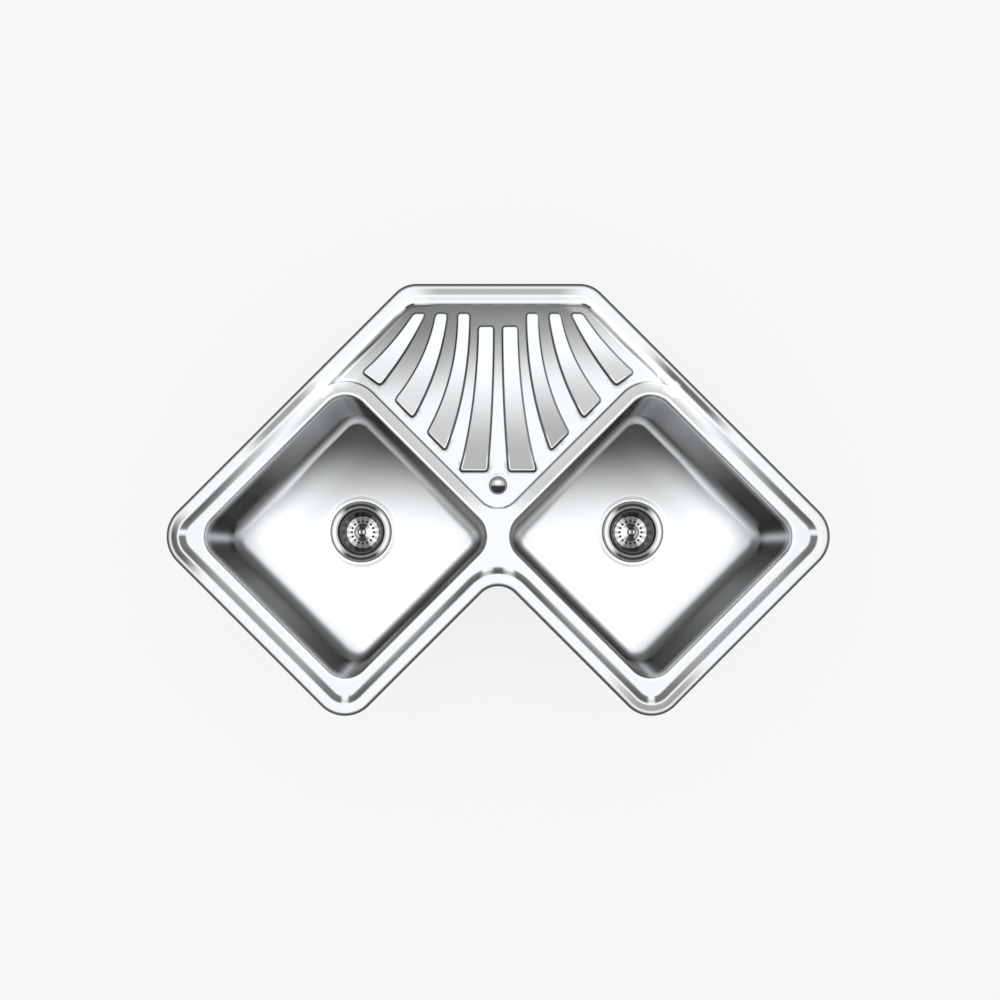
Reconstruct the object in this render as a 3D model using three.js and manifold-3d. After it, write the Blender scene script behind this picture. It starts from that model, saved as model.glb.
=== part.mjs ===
// Inset corner kitchen sink in pressed stainless steel: two square bowls, one in each wing, with a
// fan-ribbed drainer between them that falls to a capped overflow outlet. Millimetres, +Z up, +Y
// towards the corner of the room. Z = 0 is the top of the worktop, and X = Y = 0 is the middle of
// the sink's outline.
import * as THREE from 'three';
import { mergeVertices } from 'three/addons/utils/BufferGeometryUtils.js';
import Module from 'manifold-3d';

const wasm = await Module();
wasm.setup();

// ---------------------------------------------------------------- driving dimensions

// outline of the pressing, seen from above; the bowls and what is left round them set its size
const bowlSide = 362;
const bowlMargin = 50.5;      // bowl wall to the sink's edge, on three sides of each bowl
const bowlGap = 41.865;       // between the two bowls' nearest corners
const cornerCut = 159;        // how far the back edge cuts off the room corner
const tipRadius = 59;
const frontRadius = 55;
const backRadius = 50;
const notchRadius = 40;

// sheet and rim
const sheet = 1;
const rimHeight = 7;          // top of the raised rim over the worktop
const rimEdgeRadius = 3;
const rimSkirtGap = 0.5;      // turned-down edge stops this far above the worktop
const rimFlat = 20;           // edge to the start of the step
const stepRun = 10;           // width of the step down to the deck
const deckHeight = 3.5;

// bowls
const bowlRadius = 42;
const bowlDepth = 155;        // deck to bowl floor
const bowlDraft = 8;          // how far each wall leans in by the floor fillet
const bowlFillet = 16;
const bowlFloorRadius = 24;   // plan radius of the floor's corners
const lipRadius = 5;          // rounded edge from deck to bowl wall
const collarDepth = 4;        // straight part of the deck's collar, above the weld
const weldGap = 0.3;

// drainer
const landWidth = 23;         // flat land left between a bowl and the drainer
const recessBackInset = 32;
const recessSideInset = 28.7;
const recessTipRadius = 42;
const recessCornerRadius = 30;
const recessRun = 4;          // width of the recess's steep side
const floorBackDepth = 4.5;   // drainer floor under the deck at its back edge
const floorFrontDepth = 12.5; // and at the outlet
const fingerBevel = 2.4;
const fingerBackRise = 1.2;   // finger top over the floor at the back
const fingerFrontRise = 5;    // and at the outlet
const fingerCornerRadius = 5;

// overflow outlet in the drainer
const outletFromTip = 58.8;   // outlet centre to the point of the drainer's V
const outletHoleRadius = 11;
const outletSeatRadius = 20;
const outletSeatDrop = 0.8;
const capRadius = 15.5;
const capHeight = 8;
const capStemRadius = 2.9;

// wastes
const wasteTowardsMiddle = 6.5; // from the bowl's centre
const wasteTowardsBack = 12.5;
const flangeRadius = 57;
const flangeClearance = 4;    // flange's edge to the side of its recess in the bowl floor
const flangeSeatWidth = 12;   // flange over the floor, round the hole
const throatClearance = 3;    // hole to the throat of the flanged cup
const wasteRecessDepth = 3;
const cupDepth = 40;
const cupWall = 1;
const gasketThickness = 2;
const bodyWall = 3;
const tailRadius = 23;        // outside of the threaded tail
const tailLength = 46;
const strainerLean = 11;      // throat to the strainer's flat floor
const strainerHoles = 16;
const strainerHoleRadius = 2.3;
const strainerHoleInset = 10.2; // floor's edge to the circle of holes
const strainerHubInset = 3.8; // circle of holes to the hub's foot
const strainerDepth = 23;
const knobRadius = 8;

// overflow pipe
const pipeRadius = 12.5;
const pipeWall = 2;
const pipeBendRadius = 46;
const inletDrop = 32;         // side inlet's centre under the bowl floor
const inletReach = 76;        // side inlet's face from the waste's axis
const nutWall = 5;
const nutHeight = 16;

// seal, pads and clips
const sealInset = 4;
const sealWidth = 10;
const padThickness = 3;
const padSide = 262;
const padHoleRadius = 66;
const worktopThickness = 38;
const clipInset = 20;         // clip screw from the sink's outer edge
const clipReach = 18;         // screw to claw tip
const bracketWidth = 16;
const bracketGauge = 1.5;
const bracketDrop = 30;
const clipScrewRadius = 2.5;
const clawThickness = 3;
const clawWidth = 14;

// clearances and facets
const seatGap = 0.3;          // between pieces that touch
const threadGap = 0.3;        // round a screw in its thread
const rimSegments = 5;
const bowlSegments = 4;
const roundSides = 20;
const ringSides = 16;
const smallSides = 12;

// ---------------------------------------------------------------- worked out from them

const diagonal = Math.SQRT1_2;
const cornerTrim = Math.SQRT2 - 1;
const bowlX = bowlSide * diagonal - bowlRadius * cornerTrim + bowlGap / 2;
const wingWidth = bowlSide + 2 * bowlMargin;        // wall edge to front edge
const wallLeg = wingWidth + bowlX * Math.SQRT2;     // room corner to wing tip, 830 mm
const frontReach = (wallLeg + wingWidth) * diagonal - frontRadius * cornerTrim;
const roomCornerY = (frontReach + cornerCut) / 2;
const backY = roomCornerY - cornerCut;
const tipX = wallLeg * diagonal;
const tipY = roomCornerY - wallLeg * diagonal;
const frontX = bowlX;
const frontY = roomCornerY - (wallLeg + wingWidth) * diagonal;
const notchY = roomCornerY - wingWidth * Math.SQRT2;
const bowlY = tipY;
const floorZ = deckHeight - bowlDepth;
const collarBottom = deckHeight - lipRadius - collarDepth;
const landTipY = bowlY - bowlX + (bowlSide / 2 + landWidth) * Math.SQRT2;
const outletY = landTipY + outletFromTip;
const recessBackY = backY - recessBackInset;
const drainerFall = (floorFrontDepth - floorBackDepth) / (recessBackY - outletY);
const floorAt = (y) => deckHeight - floorFrontDepth + (y - outletY) * drainerFall;
const fingerTopAt = (y) => {
  const share = (y - outletY) / (recessBackY - outletY);
  return floorAt(y) + fingerFrontRise + (fingerBackRise - fingerFrontRise) * share;
};
const seatZ = floorAt(outletY) - outletSeatDrop;
const wasteRecessRadius = flangeRadius + flangeClearance;
const wasteHoleRadius = flangeRadius - flangeSeatWidth;
const cupRadius = wasteHoleRadius - throatClearance;
const strainerFloorRadius = cupRadius - strainerLean;
const strainerHoleCircle = strainerFloorRadius - strainerHoleInset;
const strainerHubFoot = strainerHoleCircle - strainerHubInset;

// ---------------------------------------------------------------- geometry helpers

function solidOf(geometry) {
  const bare = geometry.clone();
  bare.deleteAttribute('normal');
  bare.deleteAttribute('uv');
  const merged = mergeVertices(bare, 1e-4);
  const corners = merged.index.array;
  const kept = [];
  for (let i = 0; i < corners.length; i += 3) {
    const [a, b, c] = [corners[i], corners[i + 1], corners[i + 2]];
    if (a !== b && b !== c && c !== a) kept.push(a, b, c);
  }
  const points = merged.attributes.position;
  const corner = (i) => new THREE.Vector3().fromBufferAttribute(points, i);
  let volume = 0;
  for (let i = 0; i < kept.length; i += 3) {
    volume += corner(kept[i]).dot(corner(kept[i + 1]).cross(corner(kept[i + 2])));
  }
  if (volume < 0) kept.reverse();
  return new wasm.Manifold(new wasm.Mesh({
    numProp: 3,
    vertProperties: Float32Array.from(points.array),
    triVerts: Uint32Array.from(kept),
  }));
}

function geometryOf(solid) {
  const mesh = solid.getMesh();
  const geometry = new THREE.BufferGeometry();
  geometry.setAttribute('position', new THREE.BufferAttribute(Float32Array.from(mesh.vertProperties), 3));
  geometry.setIndex(Array.from(mesh.triVerts));
  geometry.computeVertexNormals();
  return geometry;
}

function joined(solids) {
  return solids.reduce((whole, next) => whole.add(next));
}

// A closed outline with rounded corners, anticlockwise. Each corner is [x, y, radius]. Moving it
// in by `inset` keeps the arcs concentric and the number of points the same.
function outline(corners, inset, segments) {
  const points = [];
  const count = corners.length;
  corners.forEach(([x, y, radius], i) => {
    const [previousX, previousY] = corners[(i + count - 1) % count];
    const [nextX, nextY] = corners[(i + 1) % count];
    const arriving = new THREE.Vector2(x - previousX, y - previousY).normalize();
    const leaving = new THREE.Vector2(nextX - x, nextY - y).normalize();
    const turn = Math.atan2(arriving.cross(leaving), arriving.dot(leaving));
    const side = Math.sign(turn);
    const arcRadius = Math.max(radius - side * inset, 0.2);
    const inward = new THREE.Vector2(-arriving.y - leaving.y, arriving.x + leaving.x);
    inward.divideScalar(1 + arriving.dot(leaving));
    const centre = new THREE.Vector2(x, y).addScaledVector(inward, inset + side * arcRadius);
    const start = new THREE.Vector2(arriving.y, -arriving.x).multiplyScalar(side * arcRadius);
    for (let k = 0; k <= segments; k += 1) {
      const spoke = start.clone().rotateAround(new THREE.Vector2(), (turn * k) / segments);
      points.push(spoke.add(centre));
    }
  });
  return points;
}

// A circle as an outline, so that a round form can be lofted with the same function.
function circle(radius, sides, x = 0, y = 0) {
  return Array.from({ length: sides }, (_, i) => {
    const angle = (i / sides) * 2 * Math.PI;
    return new THREE.Vector2(x + radius * Math.cos(angle), y + radius * Math.sin(angle));
  });
}

// Moves a smooth closed outline in by `inset`, point by point along its mitres.
function shrunk(points, inset) {
  const count = points.length;
  return points.map((point, i) => {
    const arriving = point.clone().sub(points[(i + count - 1) % count]).normalize();
    const leaving = points[(i + 1) % count].clone().sub(point).normalize();
    const inward = new THREE.Vector2(-arriving.y - leaving.y, arriving.x + leaving.x);
    inward.divideScalar(1 + arriving.dot(leaving));
    return point.clone().addScaledVector(inward, inset);
  });
}

// A closed solid through outlines of equal point count, lowest first. A level is a height, or a
// function of y for a sloping one.
function loft(levels) {
  const count = levels[0][0].length;
  const positions = [];
  for (const [points, height] of levels) {
    for (const { x, y } of points) {
      positions.push(x, y, typeof height === 'function' ? height(y) : height);
    }
  }
  const indices = [];
  for (let level = 0; level + 1 < levels.length; level += 1) {
    for (let i = 0; i < count; i += 1) {
      const here = level * count + i;
      const next = level * count + ((i + 1) % count);
      indices.push(here, next, next + count, here, next + count, here + count);
    }
  }
  const top = (levels.length - 1) * count;
  for (const [a, b, c] of THREE.ShapeUtils.triangulateShape(levels[0][0], [])) indices.push(c, b, a);
  for (const [a, b, c] of THREE.ShapeUtils.triangulateShape(levels.at(-1)[0], [])) {
    indices.push(top + a, top + b, top + c);
  }
  const geometry = new THREE.BufferGeometry();
  geometry.setAttribute('position', new THREE.Float32BufferAttribute(positions, 3));
  geometry.setIndex(indices);
  return solidOf(geometry);
}

function prism(points, low, high) {
  return loft([[points, low], [points, high]]);
}

function cylinder(radius, low, high, sides = roundSides, x = 0, y = 0) {
  return prism(circle(radius, sides, x, y), low, high);
}

// A turned solid round +Z from a closed [radius, height] profile.
function turned(profile, sides = roundSides) {
  const points = [...profile, profile[0]].map(([radius, height]) => new THREE.Vector2(radius, height));
  const geometry = new THREE.LatheGeometry(points, sides);
  geometry.rotateX(Math.PI / 2);
  return solidOf(geometry);
}

function ring(innerRadius, outerRadius, low, high, sides = smallSides) {
  return turned([[innerRadius, low], [outerRadius, low], [outerRadius, high], [innerRadius, high]], sides);
}

// A round bar through stations of a route, each { at, along }, with flat ends.
function bar(stations, radius, sides) {
  const positions = [];
  const indices = [];
  const across = new THREE.Vector3();
  stations.forEach(({ at, along, side }) => {
    across.crossVectors(along, side).normalize();
    for (let i = 0; i < sides; i += 1) {
      const angle = (i / sides) * 2 * Math.PI;
      const point = at.clone();
      point.addScaledVector(side, radius * Math.cos(angle));
      point.addScaledVector(across, radius * Math.sin(angle));
      positions.push(...point.toArray());
    }
  });
  for (let level = 0; level + 1 < stations.length; level += 1) {
    for (let i = 0; i < sides; i += 1) {
      const here = level * sides + i;
      const next = level * sides + ((i + 1) % sides);
      indices.push(here, next, next + sides, here, next + sides, here + sides);
    }
  }
  const last = (stations.length - 1) * sides;
  for (let i = 1; i + 1 < sides; i += 1) {
    indices.push(0, i + 1, i);
    indices.push(last, last + i, last + i + 1);
  }
  const geometry = new THREE.BufferGeometry();
  geometry.setAttribute('position', new THREE.Float32BufferAttribute(positions, 3));
  geometry.setIndex(indices);
  return solidOf(geometry);
}

// ---------------------------------------------------------------- materials

function material(colour, roughness, metalness) {
  return new THREE.MeshStandardMaterial({ color: colour, roughness, metalness });
}

const brushedSteel = material('#c9cbcc', 0.32, 1);
const polishedSteel = material('#d6d8da', 0.14, 1);
const chromedBrass = material('#dcdee1', 0.06, 1);
const zincSteel = material('#b3b6b8', 0.4, 1);
const blackPlastic = material('#2b2c2e', 0.55, 0);
const greyPlastic = material('#8d9093', 0.5, 0);
const blackRubber = material('#1d1e1f', 0.85, 0);
const greyFoam = material('#6f7274', 0.95, 0);
const bitumenPad = material('#3a3a3b', 0.9, 0);

function piece(name, solid, finish) {
  const mesh = new THREE.Mesh(geometryOf(solid), finish);
  mesh.name = name;
  return mesh;
}

// ---------------------------------------------------------------- outlines

const rimCorner = {
  rightFront: [frontX, frontY, frontRadius],
  rightTip: [tipX, tipY, tipRadius],
  rightBack: [cornerCut, backY, backRadius],
  leftBack: [-cornerCut, backY, backRadius],
  leftTip: [-tipX, tipY, tipRadius],
  leftFront: [-frontX, frontY, frontRadius],
  notch: [0, notchY, notchRadius],
};
const rimCorners = Object.values(rimCorner);

function rimOutline(inset) {
  return outline(rimCorners, inset, rimSegments);
}

// A square set on its corner, as each bowl stands in its wing.
function bowlOutline(side, inset, radius) {
  const reach = (bowlSide / 2 - inset) * Math.SQRT2;
  const x = side * bowlX;
  const corners = [
    [x + reach, bowlY, radius],
    [x, bowlY + reach, radius],
    [x - reach, bowlY, radius],
    [x, bowlY - reach, radius],
  ];
  return outline(corners, 0, bowlSegments);
}

function mirrored(points) {
  return points.map(({ x, y }) => new THREE.Vector2(-x, y)).reverse();
}

// ---------------------------------------------------------------- deck pressing

const belowDeck = -60;
const aboveDeck = 12;
const stepSlope = Math.atan2(rimHeight - deckHeight, stepRun);
const recessSlope = Math.atan2((floorBackDepth + floorFrontDepth) / 2, recessRun);
const fingerSlope = Math.atan2((fingerBackRise + fingerFrontRise) / 2, fingerBevel);

// The solid under the sheet's skin, for the skin itself (depth 0) and for its underside (depth =
// gauge). A pressed crease keeps its gauge, so its line moves by depth * tan(slope / 2).
function plateUnder(depth) {
  const stepShift = depth * Math.tan(stepSlope / 2);
  const skirt = rimSkirtGap - 2 * depth;
  const levels = [[rimOutline(depth), skirt]];
  for (const angle of [0, 45, 90].map(THREE.MathUtils.degToRad)) {
    const reach = rimEdgeRadius - depth;
    const inset = rimEdgeRadius - reach * Math.cos(angle);
    levels.push([rimOutline(inset), rimHeight - rimEdgeRadius + reach * Math.sin(angle)]);
  }
  levels.push([rimOutline(rimFlat - stepShift), rimHeight - depth]);
  levels.push([rimOutline(rimFlat + stepRun - stepShift), deckHeight - depth]);
  const coreInset = Math.min(recessSideInset, recessBackInset) - 5 - depth;
  const core = prism(rimOutline(coreInset), belowDeck - depth, deckHeight - depth - 1);
  return loft(levels).add(core);
}

// The drainer's basin without the lands round the bowls. Its tip and its back corners are real
// edges; between them it runs through the lands, which are taken out of it afterwards.
function basinOutline() {
  const sideLineY = roomCornerY - recessSideInset * Math.SQRT2;
  const backX = sideLineY - recessBackY;
  const farX = bowlX + 2 * landWidth;
  const farY = sideLineY - farX;
  const hiddenX = bowlX / 2;
  const hiddenY = landTipY + hiddenX - (landWidth / 2) * Math.SQRT2;
  const arcCentreY = landTipY + recessTipRadius * Math.SQRT2;
  const tip = Array.from({ length: 2 * rimSegments + 1 }, (_, k) => {
    const angle = -0.75 * Math.PI + (k / (2 * rimSegments)) * 0.5 * Math.PI;
    return new THREE.Vector2(
      recessTipRadius * Math.cos(angle),
      arcCentreY + recessTipRadius * Math.sin(angle),
    );
  });
  const backCorners = outline([
    [farX, farY, 0],
    [backX, recessBackY, recessCornerRadius],
    [-backX, recessBackY, recessCornerRadius],
    [-farX, farY, 0],
  ], 0, rimSegments).slice(rimSegments + 1, -(rimSegments + 1));
  return [
    ...tip,
    new THREE.Vector2(hiddenX, hiddenY),
    new THREE.Vector2(farX, farY),
    ...backCorners,
    new THREE.Vector2(-farX, farY),
    new THREE.Vector2(-hiddenX, hiddenY),
  ];
}

// The land round a bowl: what the drainer's recess leaves standing.
function land(side, depth) {
  const shift = depth * Math.tan(recessSlope / 2);
  const crest = bowlOutline(side, shift - landWidth, bowlRadius + landWidth - shift);
  const foot = bowlOutline(
    side,
    shift - landWidth - recessRun,
    bowlRadius + landWidth + recessRun - shift,
  );
  return loft([
    [foot, belowDeck - 10],
    [foot, (y) => floorAt(y) - depth],
    [crest, deckHeight - depth],
    [crest, aboveDeck],
  ]);
}

function recess(depth) {
  const shift = depth * Math.tan(recessSlope / 2);
  const edge = basinOutline();
  const basin = loft([
    [shrunk(edge, recessRun - shift), (y) => floorAt(y) - depth],
    [shrunk(edge, -shift), deckHeight - depth],
    [shrunk(edge, -shift), aboveDeck - 1],
  ]);
  const seat = loft([
    [circle(outletSeatRadius + shift, roundSides, 0, outletY), seatZ - depth],
    [circle(outletSeatRadius + shift + 2, roundSides, 0, outletY), seatZ - depth + 2],
  ]);
  return basin.subtract(land(1, depth)).subtract(land(-1, depth)).add(seat);
}

// ---------------------------------------------------------------- drainer fingers

const fingerTopInset = 17;         // finger tops from the recess's back edge
const middleFingerTopInset = 39;   // the two middle ones start lower
const fingerTopPitch = 0.1449 * bowlX;
const fingerTopWidth = 0.0755 * bowlX;
const fingerFootPitch = 0.2127 * bowlX;
const fingerFootWidth = 0.1156 * bowlX;
const secondFingerTopX = 0.1873 * bowlX;
const secondFingerFootX = 0.3476 * bowlX;
const fingerFootClearance = 20;  // finger ends from the land's edge
const outerFootDrop = 8.5;       // the outermost finger's end is cut flatter
const middleFootFromOutlet = 24.35;
const middleFinger = {
  top: [0.0308 * bowlX, 0.1275 * bowlX],
  foot: [0.0717 * bowlX, 0.2493 * bowlX],
};
const sideBend = 0.54;           // how far down a side its control point lies

// One finger between two bowed sides, from its narrow top to its wide foot. `lean` is how far each
// side has already moved outwards at its control point, as a share of the whole.
function fingerOutline([topInner, topOuter], topY, footInner, footOuter, lean) {
  const bend = (x, foot) => new THREE.Vector2(
    x + lean * (foot.x - x),
    topY + sideBend * (foot.y - topY),
  );
  const sideSteps = 3;
  const inner = new THREE.QuadraticBezierCurve(
    new THREE.Vector2(topInner, topY),
    bend(topInner, footInner),
    footInner,
  ).getPoints(sideSteps);
  const outer = new THREE.QuadraticBezierCurve(
    footOuter,
    bend(topOuter, footOuter),
    new THREE.Vector2(topOuter, topY),
  ).getPoints(sideSteps);
  const corners = [...inner, ...outer];
  const rounded = [];
  const count = corners.length;
  corners.forEach((corner, i) => {
    const isEnd = i === 0 || i === sideSteps || i === sideSteps + 1 || i === count - 1;
    if (!isEnd) {
      rounded.push(corner);
      return;
    }
    const before = corners[(i + count - 1) % count].clone().sub(corner).setLength(fingerCornerRadius);
    const after = corners[(i + 1) % count].clone().sub(corner).setLength(fingerCornerRadius);
    const arc = new THREE.QuadraticBezierCurve(before.add(corner), corner, after.add(corner));
    rounded.push(...arc.getPoints(2));
  });
  return rounded;
}

function fingerOutlines() {
  const middleFootY = outletY + middleFootFromOutlet;
  const right = [fingerOutline(
    middleFinger.top,
    recessBackY - middleFingerTopInset,
    new THREE.Vector2(middleFinger.foot[0], middleFootY),
    new THREE.Vector2(middleFinger.foot[1], middleFootY),
    0.05,
  )];
  const footLine = landTipY + fingerFootClearance * Math.SQRT2;
  for (let k = 0; k < 3; k += 1) {
    const topX = secondFingerTopX + k * fingerTopPitch;
    const footX = secondFingerFootX + k * fingerFootPitch;
    const drop = k === 2 ? outerFootDrop : 0;
    right.push(fingerOutline(
      [topX, topX + fingerTopWidth],
      recessBackY - fingerTopInset,
      new THREE.Vector2(footX, footX + footLine),
      new THREE.Vector2(footX + fingerFootWidth, footX + fingerFootWidth + footLine - drop),
      0.2 * k,
    ));
  }
  return [...right, ...right.map(mirrored)];
}

function fingers(depth) {
  const shift = depth * Math.tan(fingerSlope / 2);
  return joined(fingerOutlines().map((edge) => loft([
    [shrunk(edge, shift - fingerBevel), belowDeck / 2],
    [shrunk(edge, shift - fingerBevel), (y) => floorAt(y) - depth],
    [shrunk(edge, shift), (y) => fingerTopAt(y) - depth],
  ])));
}

// ---------------------------------------------------------------- deck

function bowlOpening(side, depth) {
  const levels = [[bowlOutline(side, -depth, bowlRadius + depth), belowDeck - 20]];
  for (const angle of [90, 45, 0].map(THREE.MathUtils.degToRad)) {
    const reach = lipRadius - depth;
    const inset = reach * Math.sin(angle) - lipRadius;
    levels.push([
      bowlOutline(side, inset, bowlRadius - inset),
      deckHeight - lipRadius + reach * Math.cos(angle),
    ]);
  }
  levels.push([bowlOutline(side, -lipRadius, bowlRadius + lipRadius), aboveDeck + 1]);
  return loft(levels);
}

function underSkin(depth) {
  return plateUnder(depth)
    .subtract(recess(depth))
    .add(fingers(depth))
    .subtract(bowlOpening(1, depth))
    .subtract(bowlOpening(-1, depth));
}

function deck() {
  const collarTrim = [1, -1].map((side) => prism(
    bowlOutline(side, -3 * sheet, bowlRadius + 3 * sheet),
    2 * belowDeck,
    collarBottom,
  ));
  return underSkin(0)
    .subtract(underSkin(sheet))
    .subtract(joined(collarTrim))
    .subtract(cylinder(outletHoleRadius, belowDeck, aboveDeck, roundSides, 0, outletY));
}

// ---------------------------------------------------------------- bowls

function wasteCentre(side) {
  return [side * (bowlX - wasteTowardsMiddle), bowlY + wasteTowardsBack];
}

// The space inside a bowl, for its inner face (depth 0) and its outer face (depth = gauge).
function bowlSpace(side, depth) {
  const top = collarBottom - weldGap + (depth === 0 ? 1 : 0);
  const levels = [];
  const fillet = bowlFillet + depth;
  for (const angle of [90, 60, 30, 0].map(THREE.MathUtils.degToRad)) {
    const share = Math.sin(angle);
    const inset = bowlDraft + bowlFillet - fillet * Math.cos(angle);
    const radius = bowlRadius + (bowlFloorRadius - bowlRadius) * (0.4 + 0.6 * share) + depth;
    levels.push([bowlOutline(side, inset, radius), floorZ + bowlFillet - fillet * share]);
  }
  levels.push([bowlOutline(side, -depth, bowlRadius + depth), top]);
  const [x, y] = wasteCentre(side);
  const dishFloor = floorZ - wasteRecessDepth - depth;
  const dish = loft([
    [circle(wasteRecessRadius - wasteRecessDepth + depth * 0.4, roundSides, x, y), dishFloor],
    [circle(wasteRecessRadius + depth * 0.4, roundSides, x, y), floorZ - depth],
    [circle(wasteRecessRadius + depth * 0.4, roundSides, x, y), floorZ + 1],
  ]);
  return loft(levels).add(dish);
}

function bowl(side) {
  const [x, y] = wasteCentre(side);
  const hole = cylinder(wasteHoleRadius, floorZ - 20, floorZ + 20, roundSides, x, y);
  return bowlSpace(side, sheet).subtract(bowlSpace(side, 0)).subtract(hole);
}

function soundPad(side) {
  const inset = (bowlSide - padSide) / 2;
  const top = floorZ - sheet - seatGap;
  const [x, y] = wasteCentre(side);
  return prism(bowlOutline(side, inset, 20), top - padThickness, top)
    .subtract(cylinder(padHoleRadius, top - 10, top + 10, roundSides, x, y));
}

// ---------------------------------------------------------------- rim seal

function rimSeal() {
  const top = rimHeight - sheet - seatGap;
  return prism(rimOutline(sealInset), 0, top)
    .subtract(prism(rimOutline(sealInset + sealWidth), -1, top + 1));
}

// ---------------------------------------------------------------- waste, from the bowl floor down

const dishTop = -wasteRecessDepth;
const dishUnder = dishTop - sheet;
const flangeGasketTop = dishTop + seatGap + gasketThickness;
const flangeEdgeZ = flangeGasketTop + seatGap;
const cupShoulderZ = flangeEdgeZ - 5;
const cupFloorZ = -cupDepth;
const cupInner = cupRadius - 2;
const bodyGasketTop = dishUnder - seatGap;
const bodyTop = bodyGasketTop - gasketThickness - seatGap;
const bodyInner = cupRadius + 2;
const bodyFloorZ = cupFloorZ - 14;
const bodyFlangeRadius = flangeRadius - 1;
const screwRadius = 3;
const bossRadius = 8;

// Pressed flange with a conical face, a shoulder for the strainer and a cup with its outlet holes.
function flangedCup() {
  const shell = turned([
    [0, cupFloorZ - cupWall],
    [cupInner - 6, cupFloorZ - cupWall],
    [cupInner - 2, cupFloorZ + 2],
    [cupInner + cupWall, cupShoulderZ - cupWall - 1],
    [cupRadius + cupWall, cupShoulderZ - cupWall],
    [cupRadius + cupWall + 1.5, flangeEdgeZ],
    [flangeRadius, flangeEdgeZ],
    [flangeRadius, flangeEdgeZ + cupWall],
    [flangeRadius - 3, flangeEdgeZ + cupWall + 0.8],
    [cupRadius + 0.8, flangeEdgeZ - 0.9],
    [cupRadius, cupShoulderZ],
    [cupInner, cupShoulderZ],
    [cupInner - 2.5, cupFloorZ + 3],
    [cupInner - 6.5, cupFloorZ],
    [0, cupFloorZ],
  ]);
  const outlets = [];
  for (let i = 0; i < 6; i += 1) {
    const angle = (i / 6) * 2 * Math.PI;
    outlets.push(cylinder(4.2, cupFloorZ - 5, cupFloorZ + 5, 6, 11 * Math.cos(angle), 11 * Math.sin(angle)));
  }
  const screwHole = cylinder(screwRadius + threadGap, cupFloorZ - 5, cupFloorZ + 5, smallSides);
  return shell.subtract(joined(outlets)).subtract(screwHole);
}

// Moulded housing under the bowl: flange, cup, side inlet for the overflow, threaded tail, and a
// spider that takes the centre screw.
function wasteBody(inletAngle) {
  const tailTop = bodyFloorZ - 12;
  const tailEnd = tailTop - tailLength;
  const shell = turned([
    [tailRadius - bodyWall, tailEnd],
    [tailRadius, tailEnd],
    [tailRadius, tailTop],
    [bodyInner + bodyWall, bodyFloorZ],
    [bodyInner + bodyWall, bodyTop - bodyWall - 2],
    [bodyFlangeRadius, bodyTop - bodyWall],
    [bodyFlangeRadius, bodyTop],
    [bodyInner, bodyTop],
    [bodyInner, bodyFloorZ],
    [tailRadius - bodyWall, tailTop],
  ]);
  const along = new THREE.Vector3(Math.cos(inletAngle), Math.sin(inletAngle), 0);
  const up = new THREE.Vector3(0, 0, 1);
  const station = (reach) => ({ at: along.clone().multiplyScalar(reach).setZ(-inletDrop), along, side: up });
  const spigot = bar([station(bodyInner + 1), station(inletReach)], pipeRadius, smallSides);
  const bore = bar([station(bodyInner - 4), station(inletReach + 2)], pipeRadius - pipeWall, smallSides);
  const spiderTop = cupFloorZ - cupWall - seatGap;
  const spider = [cylinder(bossRadius, spiderTop - 14, spiderTop, smallSides)];
  for (let i = 0; i < 3; i += 1) {
    const arm = new THREE.BoxGeometry(bodyInner + 1, 3, 8);
    arm.translate((bodyInner + 1) / 2, 0, spiderTop - 8);
    arm.rotateZ(inletAngle + Math.PI / 3 + (i / 3) * 2 * Math.PI);
    spider.push(solidOf(arm));
  }
  const thread = cylinder(screwRadius + threadGap, spiderTop - 20, spiderTop + 5, smallSides);
  return shell.add(spigot).subtract(bore).add(joined(spider)).subtract(thread);
}

function centreScrew() {
  const headBottom = cupFloorZ + seatGap;
  return turned([
    [0, cupFloorZ - 16],
    [screwRadius, cupFloorZ - 15],
    [screwRadius, headBottom],
    [5, headBottom],
    [5, headBottom + 1.8],
    [3.5, headBottom + 2.6],
    [0, headBottom + 2.6],
  ], smallSides);
}

const strainerRimZ = cupShoulderZ + seatGap;
const strainerFloorZ = strainerRimZ - strainerDepth;
const hubTopZ = strainerFloorZ + 9;
const stemRadius = 3;

// Strainer basket: a rolled rim on the cup's shoulder, leaning walls, a flat floor with a ring of
// holes and a raised hub that carries the knob.
function strainer() {
  const wall = 1;
  const rimRadius = cupRadius - 0.6;
  const shell = turned([
    [0, hubTopZ - wall],
    [9, hubTopZ - wall],
    [strainerHubFoot - wall, strainerFloorZ - wall],
    [strainerFloorRadius + wall, strainerFloorZ - wall],
    [cupInner - 3, strainerRimZ - 3],
    [cupInner - 1, strainerRimZ],
    [rimRadius, strainerRimZ],
    [rimRadius, strainerRimZ + 1.6],
    [rimRadius - 1.4, strainerRimZ + 2.4],
    [cupInner - 3.4, strainerRimZ + 1],
    [strainerFloorRadius, strainerFloorZ],
    [strainerHubFoot, strainerFloorZ],
    [9.6, hubTopZ],
    [0, hubTopZ],
  ]);
  const holes = [];
  for (let i = 0; i < strainerHoles; i += 1) {
    const angle = ((i + 0.5) / strainerHoles) * 2 * Math.PI;
    holes.push(cylinder(
      strainerHoleRadius,
      strainerFloorZ - 5,
      strainerFloorZ + 5,
      6,
      strainerHoleCircle * Math.cos(angle),
      strainerHoleCircle * Math.sin(angle),
    ));
  }
  const stemHole = cylinder(stemRadius + threadGap, strainerFloorZ - 10, hubTopZ + 5, smallSides);
  return shell.subtract(joined(holes)).subtract(stemHole);
}

const stopperTop = strainerFloorZ - 2.6;
const stopperThickness = 2.6;
const stopperRadius = strainerHubFoot - 0.5;

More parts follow.
